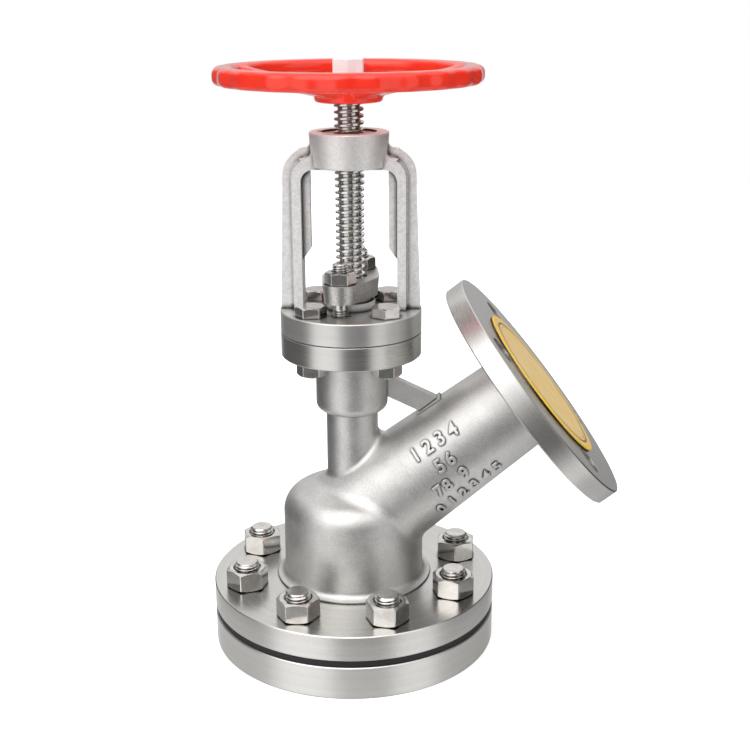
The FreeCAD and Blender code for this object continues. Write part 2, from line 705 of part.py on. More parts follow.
def circle_point(radius, degrees, z, x=0.0, y=0.0):
    a = math.radians(degrees)
    return V(x + radius * math.cos(a), y + radius * math.sin(a), z)


def make_gland_studs():
    end = gland_nut_z + GLAND_NUT_H + GLAND_STUD_SHOW
    return [stud(GLAND_STUD_R, bonnet_top - GLAND_STUD_DEPTH, end, x, y) for x, y in GLAND_PLACES]


def make_gland_nuts():
    return [nut(GLAND_NUT_AF, GLAND_STUD_R + RUN_FIT, gland_nut_z, gland_nut_z + GLAND_NUT_H, x, y)
            for x, y in GLAND_PLACES]


def make_stem_nut():
    body = rod(STEM_NUT_R, boss_z, stem_nut_top)
    collar = rod(STEM_NUT_COLLAR_R, BOSS_TOP_Z - BOSS_RECESS, stem_nut_top)
    body = body.fuse(collar).cut(rod(STEM_R + RUN_FIT, boss_z, BOSS_TOP_Z))
    return body.cut(lock_screw_hole()).removeSplitter()


def lock_screw_hole():
    """Half in the boss and half in the nut's collar, so the screw keeps the nut from turning."""
    return rod(LOCK_SCREW_R, stem_nut_top - LOCK_SCREW_LENGTH, BOSS_TOP_Z, -STEM_NUT_COLLAR_R, 0)


def make_stem_nut_lock_screw():
    return rod(LOCK_SCREW_R, stem_nut_top - LOCK_SCREW_LENGTH, stem_nut_top, -STEM_NUT_COLLAR_R, 0)


def make_stem():
    """Button head in the disc, shank, back-seat collar, threaded length, square and top thread."""
    collar_low = stem_collar_top - STEM_COLLAR_H
    shank = turned([(0, head_z, 0), (STEM_HEAD_R - EDGE_BREAK, head_z, 0),
                    (STEM_HEAD_R, head_z + EDGE_BREAK, 0),
                    (STEM_HEAD_R, head_top, 0), (STEM_R, head_top, 0), (STEM_R, collar_low, 0),
                    (STEM_COLLAR_R, collar_low, 0), (STEM_COLLAR_R, stem_collar_top - BACKSEAT_CONE_H, 0),
                    (STEM_R, stem_collar_top, 0), (STEM_R, HUB_Z, 0), (0, HUB_Z, 0)])
    half = SQUARE_AF / 2
    square = Part.makeBox(SQUARE_AF, SQUARE_AF, HUB_H - HAND_GAP, V(-half, -half, HUB_Z))
    square = square.common(rod(STEM_R, HUB_Z, hub_top))
    top = stud(STEM_TOP_R, HUB_Z, wheel_nut_z + WHEEL_NUT_H - EDGE_BREAK, 0, 0)
    return shank.fuse([square, top])


def make_seal_plate():
    plate = turned([(0, 0, 0), (plate_r - PLATE_CHAMFER, 0, 0), (plate_r, PLATE_CHAMFER, 0),
                    (plate_r, PLATE_T, 0), (0, PLATE_T, 0)])
    for x, y in on_circle(PLATE_SCREW_PITCH_R, PLATE_SCREWS, 90):
        plate = plate.cut(countersunk(x, y))
    return plate


def countersunk(x, y):
    """A flush screw from below: cone head and shank."""
    head_r = PLATE_SCREW_R * 2
    screw = turned([(0, 0, 0), (head_r, 0, 0), (PLATE_SCREW_R, head_r - PLATE_SCREW_R, 0),
                    (PLATE_SCREW_R, PLATE_SCREW_LENGTH, 0), (0, PLATE_SCREW_LENGTH, 0)])
    screw.translate(V(x, y, 0))
    return screw


def make_seal_plate_screws():
    return [countersunk(x, y) for x, y in on_circle(PLATE_SCREW_PITCH_R, PLATE_SCREWS, 90)]


def make_disc_seal():
    gap = MOVE_GAP * math.sqrt(2)
    cone_r = SEAT_BORE_R - SEAT_CONE_Z - gap
    return turned([(SEAL_INNER_R, PLATE_T, 0), (plate_r, PLATE_T, 0), (plate_r, plate_r - cone_r, 0),
                   (cone_r + disc_z, disc_z, 0), (SEAL_INNER_R, disc_z, 0)])


def make_disc():
    """The closing piece: a plate over the seal and a boss with the pocket for the stem's head."""
    cone_r = SEAT_BORE_R + disc_z - SEAT_CONE_Z - 2 * MOVE_GAP
    disc = turned([(0, PLATE_T, 0), (SEAL_INNER_R, PLATE_T, 0), (SEAL_INNER_R, disc_z, 0),
                   (cone_r, disc_z, 0), (DISC_R, disc_z + DISC_CHAMFER, 0),
                   (DISC_R, disc_top - DISC_CHAMFER, 0), (DISC_R - DISC_CHAMFER, disc_top, 0),
                   (DISC_BOSS_R + DISC_BOSS_ROOT, disc_top, 0),
                   (DISC_BOSS_R, disc_top + DISC_BOSS_ROOT, 0), (DISC_BOSS_R, disc_boss_top, 0),
                   (POCKET_R, disc_boss_top, 0), (POCKET_R, pocket_z, 0), (0, pocket_z, 0)])
    for x, y in on_circle(PLATE_SCREW_PITCH_R, PLATE_SCREWS, 90):
        disc = disc.cut(countersunk(x, y))
    return disc


def make_disc_nut():
    """The threaded ring that traps the stem's head in the disc."""
    low = head_top + MOVE_GAP
    ring = rod(POCKET_R, low, disc_boss_top)
    head = hexagon(DISC_NUT_AF, disc_boss_top, disc_boss_top + DISC_NUT_HEAD_H)
    return ring.fuse(head).cut(rod(STEM_R + RUN_FIT, low, disc_boss_top + DISC_NUT_HEAD_H))


def make_handwheel():
    """Dished wheel: hub with a square hole, tapered spokes and a rim with a wavy outside for the fingers."""
    hub = turned([(0, HUB_Z, 0), (HUB_R, HUB_Z, EDGE_BREAK), (HUB_R, hub_top - HUB_CHAMFER, 0),
                  (HUB_R - HUB_CHAMFER, hub_top, 0), (0, hub_top, 0)])
    spokes = [turned_about_z(make_spoke(), 90 + 360.0 * i / SPOKES) for i in range(SPOKES)]
    wheel = make_rim().fuse([hub] + spokes)
    hole = SQUARE_AF / 2 + HAND_GAP
    return wheel.cut(Part.makeBox(2 * hole, 2 * hole, HUB_H, V(-hole, -hole, HUB_Z)))


def make_rim():
    """The rim: a wavy outline of equal crests and hollows, extruded and rounded along all four edges."""
    rim_low = WHEEL_TOP_Z - RIM_H
    steps = SCALLOPS * 4
    points = []
    for i in range(steps):
        r = WHEEL_R - SCALLOP_DEPTH * (1 - math.cos(math.pi * i / 2)) / 2
        points.append(circle_point(r, 360.0 * i / steps, rim_low))
    wave = Part.BSplineCurve()
    wave.interpolate(Points=points, PeriodicFlag=True)
    rim = Part.Face(Part.Wire(wave.toShape())).extrude(V(0, 0, RIM_H))
    rim = rim.makeFillet(RIM_OUTER_FILLET, [edge for edge in rim.Edges if edge.isClosed()])
    opening = turned([(0, rim_low, 0), (WHEEL_R - RIM_W + RIM_INNER_FILLET, rim_low, 0),
                      (WHEEL_R - RIM_W, rim_low + RIM_INNER_FILLET, 0),
                      (WHEEL_R - RIM_W, WHEEL_TOP_Z - RIM_INNER_FILLET, 0),
                      (WHEEL_R - RIM_W + RIM_INNER_FILLET, WHEEL_TOP_Z, 0), (0, WHEEL_TOP_Z, 0)])
    return rim.cut(opening)


def make_spoke():
    """One spoke toward +X, leaving the upper part of the hub and rising a little to the rim."""
    half_t = SPOKE_T / 2
    sections = []
    for x, z, width in ((HUB_R - SPOKE_ROOT, hub_top - SPOKE_DROP - half_t, SPOKE_HUB_W),
                        (WHEEL_R - RIM_W / 2, WHEEL_TOP_Z - RIM_H / 2, SPOKE_RIM_W)):
        half_w = width / 2
        face = rounded_face([(-half_w, -half_t, SPOKE_CORNER), (half_w, -half_t, SPOKE_CORNER),
                             (half_w, half_t, SPOKE_CORNER), (-half_w, half_t, SPOKE_CORNER)])
        face.rotate(V(0, 0, 0), Z_AXIS, 90)
        face.translate(V(x, 0, z))
        sections.append(face.OuterWire)
    return Part.makeLoft(sections, True, True)


def make_wheel_washer():
    return tube(WHEEL_WASHER_R, STEM_TOP_R + HAND_GAP, hub_top, wheel_nut_z)


def make_wheel_nut():
    shape = nut(WHEEL_NUT_AF, STEM_TOP_R, wheel_nut_z, wheel_nut_z + WHEEL_NUT_H)
    return turned_about_z(shape, 30)


def make_outlet_cover():
    """A thin moulded disc on the raised face, with a plug ring that grips the bore."""
    top = cover_s + COVER_T
    plug_r = OUTLET_BORE_R - MOVE_GAP
    cap = turned([(plug_r - COVER_PLUG_T, cover_s, 0), (plug_r - COVER_PLUG_T, cover_s - COVER_PLUG_DEPTH, 0),
                  (plug_r, cover_s - COVER_PLUG_DEPTH, 0), (plug_r, cover_s, 0),
                  (COVER_R, cover_s, 0),
                  (COVER_R, top - COVER_EDGE, 0), (COVER_R - COVER_EDGE, top, 0), (0, top, 0),
                  (0, cover_s, 0)])
    groove = tube(COVER_GROOVE_R + COVER_GROOVE_W / 2, COVER_GROOVE_R - COVER_GROOVE_W / 2,
                  top - COVER_GROOVE_DEPTH, top)
    return on_branch(cap.cut(groove))


NODES = {
    "tank_flange": make_tank_flange,
    "flange_gasket": make_flange_gasket,
    "seat_ring": make_seat_ring,
    "valve_body": make_valve_body,
    "body_neck": make_body_neck,
    "outlet_branch": make_outlet_branch,
    "flange_studs": make_flange_studs,
    "flange_nuts": make_flange_nuts,
    "bonnet_gasket": make_bonnet_gasket,
    "bonnet_yoke": make_bonnet_yoke,
    "bonnet_bolts": make_bonnet_bolts,
    "bonnet_nuts": make_bonnet_nuts,
    "backseat_bush": make_backseat_bush,
    "packing_washer": make_packing_washer,
    "packing_rings": make_packing_rings,
    "gland_follower": make_gland_follower,
    "gland_flange": make_gland_flange,
    "gland_studs": make_gland_studs,
    "gland_nuts": make_gland_nuts,
    "stem_nut": make_stem_nut,
    "stem_nut_lock_screw": make_stem_nut_lock_screw,
    "stem": make_stem,
    "seal_plate": make_seal_plate,
    "seal_plate_screws": make_seal_plate_screws,
    "disc_seal": make_disc_seal,
    "disc": make_disc,
    "disc_nut": make_disc_nut,
    "handwheel": make_handwheel,
    "wheel_washer": make_wheel_washer,
    "wheel_nut": make_wheel_nut,
    "outlet_cover": make_outlet_cover,
}

os.makedirs("parts", exist_ok=True)
for node, make in NODES.items():
    shape = make()
    if isinstance(shape, list):
        shape = Part.makeCompound(shape)
    solids = shape.Solids
    if len(solids) == 1:
        shape = solids[0]
    shape.exportStep("parts/" + node + ".step")
    state = "valid" if shape.isValid() else "INVALID"
    print(node, len(solids), "solids", round(shape.Volume, 1), "mm3", state)
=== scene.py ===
import bpy
import bmesh
import json
import math
from mathutils import Matrix, Vector, noise


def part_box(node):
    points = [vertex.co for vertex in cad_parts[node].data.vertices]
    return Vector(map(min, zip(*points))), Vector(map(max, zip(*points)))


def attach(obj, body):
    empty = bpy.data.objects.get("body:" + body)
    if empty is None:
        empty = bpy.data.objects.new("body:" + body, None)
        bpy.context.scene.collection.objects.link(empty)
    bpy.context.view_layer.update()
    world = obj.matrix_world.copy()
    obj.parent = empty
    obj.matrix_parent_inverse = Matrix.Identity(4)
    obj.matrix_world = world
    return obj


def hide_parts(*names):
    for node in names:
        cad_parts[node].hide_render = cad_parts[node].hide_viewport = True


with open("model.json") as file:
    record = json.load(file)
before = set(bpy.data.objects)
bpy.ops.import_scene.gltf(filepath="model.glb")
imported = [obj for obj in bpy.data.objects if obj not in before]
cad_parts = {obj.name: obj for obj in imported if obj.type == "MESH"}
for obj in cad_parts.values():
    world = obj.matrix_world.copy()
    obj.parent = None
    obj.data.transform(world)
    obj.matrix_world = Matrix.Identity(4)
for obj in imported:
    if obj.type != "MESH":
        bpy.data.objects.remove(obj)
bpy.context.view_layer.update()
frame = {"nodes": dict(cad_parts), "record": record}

scene = bpy.context.scene
scene.view_settings.view_transform = "Standard"
nodes = frame["nodes"]
slots = {part["node"]: part["material_slot"] for part in frame["record"]["subparts"]}
bodies = {node: body for body, group in frame["record"]["behaviour"]["bodies"].items() for node in group}

MM = 0.001


def levels(node):
    """Foot and top of a CAD piece, in millimetres."""
    low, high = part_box(node)
    return round(low[2] / MM, 3), round(high[2] / MM, 3)


# Sizes that the finishes and the modelled pieces share, in millimetres; levels are read from the CAD pieces
END_PITCH_R = 72.5
END_BOLTS = 8
END_TURN = -2.5
END_NUT_AF = 23.8
STUD_FOOT, STUD_TOP = levels("flange_studs")
BODY_FLANGE_TOP, END_NUT_TOP = levels("flange_nuts")

BONNET_PITCH_R = 32.5
BONNET_BOLTS = 4
BONNET_AF = 17.0
BONNET_HEAD_H = 6.4
BOLT_FOOT, BOLT_TOP = levels("bonnet_bolts")
BONNET_TOP = BOLT_TOP - BONNET_HEAD_H
BONNET_NUT_FOOT, NECK_FLANGE_FOOT = levels("bonnet_nuts")
NECK_FLANGE_TOP = levels("body_neck")[1]

GLAND_PITCH_R = 23.3
GLAND_STUDS = 2
GLAND_TURN = -12.0
GLAND_STUD_FOOT, GLAND_STUD_TOP = levels("gland_studs")
GLAND_NUT_FOOT, GLAND_NUT_TOP = levels("gland_nuts")

BOSS_FOOT = levels("stem_nut")[0]
BOSS_R = 24.3
BUSH_FOOT = levels("backseat_bush")[0]
STEM_FOOT, STEM_TOP = levels("stem")
HUB_FOOT, WHEEL_TOP = levels("handwheel")
HUB_H = 12.2
WHEEL_NUT_FOOT, WHEEL_NUT_TOP = levels("wheel_nut")

BRANCH_ANGLE = math.radians(38.05)
BRANCH_Z = 79.7
BRANCH_LENGTH = 152.4
BRANCH_ROOT_R = 36.5
BRANCH_END_R = 29.8
OUTLET_FLANGE_T = 13.0
BRANCH_AXIS = Vector((math.cos(BRANCH_ANGLE), 0, math.sin(BRANCH_ANGLE)))
BRANCH_UP = Vector((-BRANCH_AXIS.z, 0, BRANCH_AXIS.x))
COVER_R = 52.3
COVER_GROOVE_R = 46.0
COVER_LINE_R = 43.1


# Camera: a little above the handwheel, looking down at the flanges
FOCAL_PIXELS = 1239.9
IMAGE_PIXELS = 750
SENSOR_MM = 36.0
CAMERA_DISTANCE = 0.75601
CAMERA_HEIGHT = 0.41251
CAMERA_SIDE_DEG = 3.76
CAMERA_YAW_DEG = 1.12
CAMERA_PITCH_DEG = 17.22
CAMERA_ROLL_DEG = -0.34


def make_camera():
    side = math.radians(CAMERA_SIDE_DEG)
    heading = side - math.radians(CAMERA_YAW_DEG)
    pitch = math.radians(CAMERA_PITCH_DEG)
    roll = math.radians(CAMERA_ROLL_DEG)
    place = Vector((math.sin(side) * CAMERA_DISTANCE, -math.cos(side) * CAMERA_DISTANCE, CAMERA_HEIGHT))
    level = Vector((-math.sin(heading), math.cos(heading), 0))
    forward = level * math.cos(pitch) - Vector((0, 0, 1)) * math.sin(pitch)
    right = Vector((math.cos(heading), math.sin(heading), 0))
    rolled = right * math.cos(roll) + right.cross(forward) * math.sin(roll)
    up = rolled.cross(forward)
    data = bpy.data.cameras.new("camera")
    data.sensor_width = SENSOR_MM
    data.lens = FOCAL_PIXELS * SENSOR_MM / IMAGE_PIXELS
    camera = bpy.data.objects.new("camera", data)
    scene.collection.objects.link(camera)
    turned = Matrix((rolled, up, -forward)).transposed()
    camera.matrix_world = Matrix.Translation(place) @ turned.to_4x4()
    scene.camera = camera


# Noise values lie mostly within the first span, and a pattern on the second has harder edges
PATTERN_SPAN = (0.3, 0.7)
SHARP_SPAN = (0.35, 0.65)
# The Mix node has sockets of the same names for every type, so its colours go by number
MIX_FIRST, MIX_SECOND, MIX_RESULT = 6, 7, 2


class Tree:
    """A node tree of a material, a world or a modifier, built by short calls."""

    def __init__(self, tree):
        self.tree = tree
        tree.nodes.clear()

    def add(self, kind, inputs=None, **settings):
        node = self.tree.nodes.new(kind)
        for name, value in settings.items():
            setattr(node, name, value)
        for name, value in (inputs or {}).items():
            if isinstance(value, bpy.types.NodeSocket):
                self.tree.links.new(value, node.inputs[name])
            else:
                node.inputs[name].default_value = value
        return node

    def math(self, operation, first, second=0.0):
        return self.add("ShaderNodeMath", {0: first, 1: second}, operation=operation).outputs[0]

    def products(self, first_pair, second_pair):
        """The values of each pair multiplied, and the two products added."""
        return self.math("ADD", self.math("MULTIPLY", *first_pair), self.math("MULTIPLY", *second_pair))

    def length(self, x, y):
        return self.math("SQRT", self.products((x, x), (y, y)))

    def blend(self, share, first, second):
        """The first value where share is 0, and the second where it is 1."""
        return self.products((first, self.math("SUBTRACT", 1.0, share)), (second, share))

    def between(self, value, low, high):
        above = self.math("GREATER_THAN", value, low)
        return self.math("MULTIPLY", above, self.math("LESS_THAN", value, high))

    def step(self, value, low, high, out_low=0.0, out_high=1.0):
        """A smooth step between two values."""
        inputs = {"Value": value, "From Min": low, "From Max": high, "To Min": out_low, "To Max": out_high}
        return self.add("ShaderNodeMapRange", inputs, interpolation_type="SMOOTHSTEP").outputs[0]

    def spread(self, pattern, values):
        """A value that a noise pattern moves between two limits."""
        return self.step(pattern, *PATTERN_SPAN, *values)

    def mix(self, factor, first, second):
        inputs = {"Factor": factor, MIX_FIRST: first, MIX_SECOND: second}
        return self.add("ShaderNodeMix", inputs, data_type="RGBA").outputs[MIX_RESULT]

    def tint(self, pattern, tones, span=PATTERN_SPAN):
        """A colour that a noise pattern moves between two tones."""
        return self.mix(self.step(pattern, *span), *tones)

    def noise(self, vector, size_mm, detail=2.0, roughness=0.5, distortion=0.0):
        """Noise whose blotches are about size_mm across."""
        inputs = {"Vector": vector, "Scale": 1.0 / (size_mm * MM), "Detail": detail, "Roughness": roughness,
                  "Distortion": distortion}
        return self.add("ShaderNodeTexNoise", inputs).outputs[0]

    def place(self):
        return self.add("ShaderNodeTexCoord").outputs["Object"]

    def split(self, vector):
        return self.add("ShaderNodeSeparateXYZ", {"Vector": vector}).outputs

    def join(self, x=0.0, y=0.0, z=0.0):
        return self.add("ShaderNodeCombineXYZ", {"X": x, "Y": y, "Z": z}).outputs[0]


# Studio: strips of light beside the camera that flanges and necks mirror, a large soft box up on the left,
# a bright sky that reaches lower behind the part, and a glow from the ground.
# Angles are degrees to the right of the camera's side, or above the horizon.
# A strip has its side, half its width, its light and the softness of its edges.
LEFT_STRIP = (-43.0, 25.0, 1.18, 9.0)
RIGHT_STRIP = (50.0, 19.0, 0.95, 6.0)
GAP = (0.0, 12.0, 0.18, 9.0)
BACKDROP = (180.0, 28.0, 0.6, 9.0)
SIDE_LIGHTS = (0.13, 0.06)
SIDE_BLEND = 0.25
KEY_SIDE_DEG = -30.0
KEY_ELEVATION_DEG = 52.0
KEY_HALF_DEG = 33.0
KEY_SOFT_DEG = 11.0
KEY_LIGHT = 2.5
SKY_LIGHTS = (1.05, 1.6)
SKY_BLEND = 0.6
SKY_EDGE_DEG = (34.0, 56.0)
BACK_SKY_EDGE_DEG = (10.0, 30.0)
BACK_SKY_SIDES = (0.3, 0.9)
GROUND_LIGHT = 0.55
GROUND_EDGE_DEG = (28.0, 48.0)
SHORTEST = 0.001


def lobe_edges(half_deg, soft_deg):
    """Cosines at the dark and at the bright edge of a light."""
    return math.cos(math.radians(half_deg + soft_deg)), math.cos(math.radians(half_deg - soft_deg))


def sines(degrees):
    return [math.sin(math.radians(deg)) for deg in degrees]


def make_studio():
    """The light comes from the world: soft boxes are smooth lobes of direction, not lamps."""
    world = bpy.data.worlds.new("studio")
    scene.world = world
    world.use_nodes = True
    s = Tree(world.node_tree)
    direction = s.add("ShaderNodeTexCoord").outputs["Generated"]
    x, y, z = s.split(direction)
    flat = s.math("MAXIMUM", s.length(x, y), SHORTEST)

    def heading(side_deg):
        turn = math.radians(-90 + CAMERA_SIDE_DEG + side_deg)
        return math.cos(turn), math.sin(turn)

    def toward(side_deg):
        """Cosine of the horizontal angle between a direction and a side."""
        ahead, across = heading(side_deg)
        return s.math("DIVIDE", s.products((x, ahead), (y, across)), flat)

    ring = s.step(toward(90), -SIDE_BLEND, SIDE_BLEND, *SIDE_LIGHTS)
    near, far = sines(GROUND_EDGE_DEG)
    ring = s.math("MAXIMUM", ring, s.step(z, -far, -near, GROUND_LIGHT, 0.0))
    for side_deg, half_deg, light, soft_deg in (LEFT_STRIP, RIGHT_STRIP, GAP, BACKDROP):
        strip = s.step(toward(side_deg), *lobe_edges(half_deg, soft_deg), 0.0, light)
        ring = s.math("MAXIMUM", ring, strip)
    behind = s.math("MULTIPLY", s.step(toward(180), *BACK_SKY_SIDES), s.step(z, *sines(BACK_SKY_EDGE_DEG)))
    up = s.math("MAXIMUM", s.step(z, *sines(SKY_EDGE_DEG)), behind)
    level = s.blend(up, ring, s.step(toward(0), -SKY_BLEND, SKY_BLEND, *SKY_LIGHTS))
    ahead, across = heading(KEY_SIDE_DEG)
    rise = math.radians(KEY_ELEVATION_DEG)
    key_way = (math.cos(rise) * ahead, math.cos(rise) * across, math.sin(rise))
    key = s.add("ShaderNodeVectorMath", {0: direction, 1: key_way}, operation="DOT_PRODUCT")
    soft_box = s.step(key.outputs["Value"], *lobe_edges(KEY_HALF_DEG, KEY_SOFT_DEG), 0.0, KEY_LIGHT)
    light = s.math("MAXIMUM", level, soft_box)
    strength = s.blend(s.add("ShaderNodeLightPath").outputs["Is Camera Ray"], light, 1.0)
    background = s.add("ShaderNodeBackground", {"Color": (1, 1, 1, 1), "Strength": strength})
    s.add("ShaderNodeOutputWorld", {"Surface": background.outputs[0]})


FLOOR_SIZE = 4.0
FLOOR_COLOR = (0.9, 0.9, 0.9, 1)
FLOOR_GLOW = 0.5
FLOOR_MIRRORED = 0.62
FLOOR_FADE_MM = (100.0, 260.0)


def make_floor():
    """A white sheet that keeps the soft shadow, and that metal mirrors only near the part."""
    bpy.ops.mesh.primitive_plane_add(size=FLOOR_SIZE, location=(0, 0, 0))
    floor = bpy.context.object
    floor.name = "floor"
    material, s = new_material("floor_white")
    diffuse = s.add("ShaderNodeBsdfDiffuse", {"Color": FLOOR_COLOR}).outputs[0]
    glow = s.add("ShaderNodeEmission", {"Color": (1, 1, 1, 1), "Strength": FLOOR_GLOW}).outputs[0]
    bright = s.add("ShaderNodeAddShader", {0: diffuse, 1: glow}).outputs[0]
    path = s.add("ShaderNodeLightPath").outputs
    seen = s.math("MAXIMUM", path["Is Camera Ray"], path["Is Transmission Ray"])
    seen = s.math("MAXIMUM", seen, path["Is Glossy Ray"])
    plain = s.add("ShaderNodeMixShader", {0: seen, 1: diffuse, 2: bright}).outputs[0]
    reach = s.add("ShaderNodeVectorMath", {0: s.place()}, operation="LENGTH").outputs["Value"]
    fade = s.step(reach, FLOOR_FADE_MM[0] * MM, FLOOR_FADE_MM[1] * MM, FLOOR_MIRRORED, 1.0)
    gone = s.math("MULTIPLY", fade, path["Is Glossy Ray"])
    clear = s.add("ShaderNodeBsdfTransparent").outputs[0]
    sheet = s.add("ShaderNodeMixShader", {0: gone, 1: plain, 2: clear}).outputs[0]
    s.add("ShaderNodeOutputMaterial", {"Surface": sheet})
    floor.data.materials.append(material)


# Finishes: the two tones that a pattern moves between, and the roughness at its low and its high end
CAST_TONES = ((0.57, 0.562, 0.545, 1), (0.65, 0.642, 0.625, 1))
CAST_SPARKLE = (0.90, 0.895, 0.88, 1)
SPARKLE_SPAN = (0.42, 0.68)
SPARKLE_SHARE = 0.6
CAST_ROUGHNESS = (0.40, 0.50)
TURNED_TONES = ((0.625, 0.612, 0.588, 1), (0.665, 0.652, 0.628, 1))
TURNED_ROUGHNESS = (0.27, 0.34)
ZONE_ROUGHNESS = (0.26, 0.32)
YOKE_CAST_TONES = ((0.84, 0.835, 0.825, 1), (0.98, 0.975, 0.965, 1))
YOKE_CAST_ROUGHNESS = (0.66, 0.56)
YOKE_FLANGE_TONES = ((0.62, 0.61, 0.59, 1), (0.68, 0.67, 0.65, 1))
YOKE_FLANGE_ROUGHNESS = (0.28, 0.34)
BOSS_TONES = ((0.84, 0.83, 0.815, 1), (0.94, 0.93, 0.915, 1))
BOSS_ROUGHNESS = (0.52, 0.60)
GLAND_TONES = ((0.50, 0.49, 0.47, 1), (0.72, 0.71, 0.69, 1))
GLAND_ROUGHNESS = (0.46, 0.32)
STEEL_TONES = ((0.60, 0.58, 0.55, 1), (0.70, 0.68, 0.655, 1))
STEM_TONES = ((0.66, 0.65, 0.63, 1), (0.76, 0.75, 0.735, 1))
ZINC_TONES = ((0.93, 0.945, 0.96, 1), (0.985, 0.99, 0.995, 1))
BRONZE_TONES = ((0.42, 0.30, 0.17, 1), (0.55, 0.42, 0.26, 1))
RUBBER_TONES = ((0.003, 0.003, 0.003, 1), (0.009, 0.009, 0.009, 1))
GRAPHITE_TONES = ((0.05, 0.05, 0.055, 1), (0.09, 0.09, 0.095, 1))
PTFE_TONES = ((0.84, 0.84, 0.82, 1), (0.92, 0.92, 0.90, 1))
RED_TONES = ((0.88, 0.024, 0.007, 1), (0.93, 0.036, 0.012, 1))
YELLOW_TONES = ((0.90, 0.60, 0.16, 1), (0.88, 0.66, 0.31, 1))
YELLOW_STAIN = (0.62, 0.42, 0.19, 1)
STAIN_SPAN = (0.56, 0.74)
STAIN_SHARE = 0.5
# Painted shade for the cover's groove and for a fine ring inside it
YELLOW_RING_SHADE = (0.20, 0.115, 0.05, 1)
YELLOW_EDGE = (0.95, 0.60, 0.05, 1)
YELLOW_EDGE_FROM = COVER_GROOVE_R + 1.6
YELLOW_EDGE_FULL = COVER_GROOVE_R + 4.6
# The cover's dark rings of painted shade, one in the groove and a fine one inside it: radius, half the
# width and how dark, and the share of the width that is full
YELLOW_RINGS = ((COVER_GROOVE_R, 1.3, 0.92), (COVER_LINE_R, 0.5, 0.45))
RING_CORE = 0.4

GROOVE_MM = 0.35
ZONE_GROOVE_MM = 0.4
ZONE_RELIEF = 0.12
YOKE_RELIEF = 0.06
EDGE_SOFTNESS_MM = 0.35
# Painted shade in crevices of metal: how far ambient occlusion looks, the occlusion over which the colour
# goes dark, and the dark colour
CREVICE_SHADE_MM = 1.6
CREVICE_SHADE_RANGE = (0.3, 0.82)
CREVICE_SHADE_COLOR = (0.05, 0.048, 0.045, 1)
MOSTLY_METAL = 0.5


def new_material(name):
    material = bpy.data.materials.new(name)
    material.use_nodes = True
    return material, Tree(material.node_tree)


def surface(s, color, roughness, height, depth_mm, strength, metallic=1.0, edge_mm=EDGE_SOFTNESS_MM,
            crevice_shade_mm=CREVICE_SHADE_MM, crevice_shade_range=CREVICE_SHADE_RANGE, **sockets):
    """The closing shader: softened edges, fine relief and the finish; on metal, painted shade darkens the
    colour in crevices and corners.
    """
    edges = s.add("ShaderNodeBevel", {"Radius": edge_mm * MM}, samples=4).outputs[0]
    # Painted shade: where ambient occlusion finds nearby surfaces, the colour goes toward the dark shade
    # colour
    if metallic > MOSTLY_METAL:
        cover = s.add("ShaderNodeAmbientOcclusion", {"Distance": crevice_shade_mm * MM}, samples=6).outputs["AO"]
        color = s.mix(s.step(cover, *crevice_shade_range), CREVICE_SHADE_COLOR, color)
    relief = {"Height": height, "Strength": strength, "Distance": depth_mm * MM, "Normal": edges}
    normal = s.add("ShaderNodeBump", relief).outputs[0]
    inputs = {"Base Color": color, "Roughness": roughness, "Normal": normal, "Metallic": metallic}
    inputs.update({name.replace("_", " "): value for name, value in sockets.items()})
    s.add("ShaderNodeOutputMaterial", {"Surface": s.add("ShaderNodeBsdfPrincipled", inputs).outputs[0]})


def axis_place(s, place, slanted=False):
    """Distance from the stem's axis, or from the branch's where slanted, and the height along it."""
    x, y, z = s.split(place)
    if slanted:
        rise = s.math("SUBTRACT", z, BRANCH_Z * MM)
        along = s.products((x, BRANCH_AXIS.x), (rise, BRANCH_AXIS.z))
        x = s.products((x, BRANCH_UP.x), (rise, BRANCH_UP.z))
        z = along
    return s.length(x, y), z


def turned_rings(s, radius, height, groove_mm):
    """Fine rings that a lathe tool leaves, and the broad bands between its passes."""
    across = s.join(radius, height)
    return s.noise(across, groove_mm, detail=3.0, roughness=0.7), s.noise(across, groove_mm * 9)


def casting_finish(name, turned_zone=None):
    """Bead-blasted stainless casting: satin and finely grained, with one flange turned bright.

    The turned zone says whether it lies along the branch, and its first and last level in millimetres.
    """
    material, s = new_material(name)
    place = s.place()
    grain = s.noise(place, size_mm=0.8, detail=4.0, roughness=0.75)
    color = s.tint(s.noise(place, size_mm=11.0, detail=3.0), CAST_TONES)
    color = s.mix(s.step(grain, *SPARKLE_SPAN, 0.0, SPARKLE_SHARE), color, CAST_SPARKLE)
    rough = s.spread(grain, CAST_ROUGHNESS)
    height = grain
    if turned_zone is not None:
        slanted, first, last = turned_zone
        radius, along = axis_place(s, place, slanted)
        rings, bands = turned_rings(s, radius, along, ZONE_GROOVE_MM)
        inside = s.between(along, first * MM, last * MM)
        color = s.mix(inside, color, s.tint(bands, TURNED_TONES))
        rough = s.blend(inside, rough, s.spread(rings, ZONE_ROUGHNESS))
        height = s.blend(inside, height, s.math("MULTIPLY", rings, ZONE_RELIEF))
    # Painted shade: dark outlines round the feet of the raised digits and in the casting's corners
    surface(s, color, rough, height, depth_mm=0.16, strength=0.7, crevice_shade_mm=1.5,
            crevice_shade_range=(0.52, 0.96))
    return material


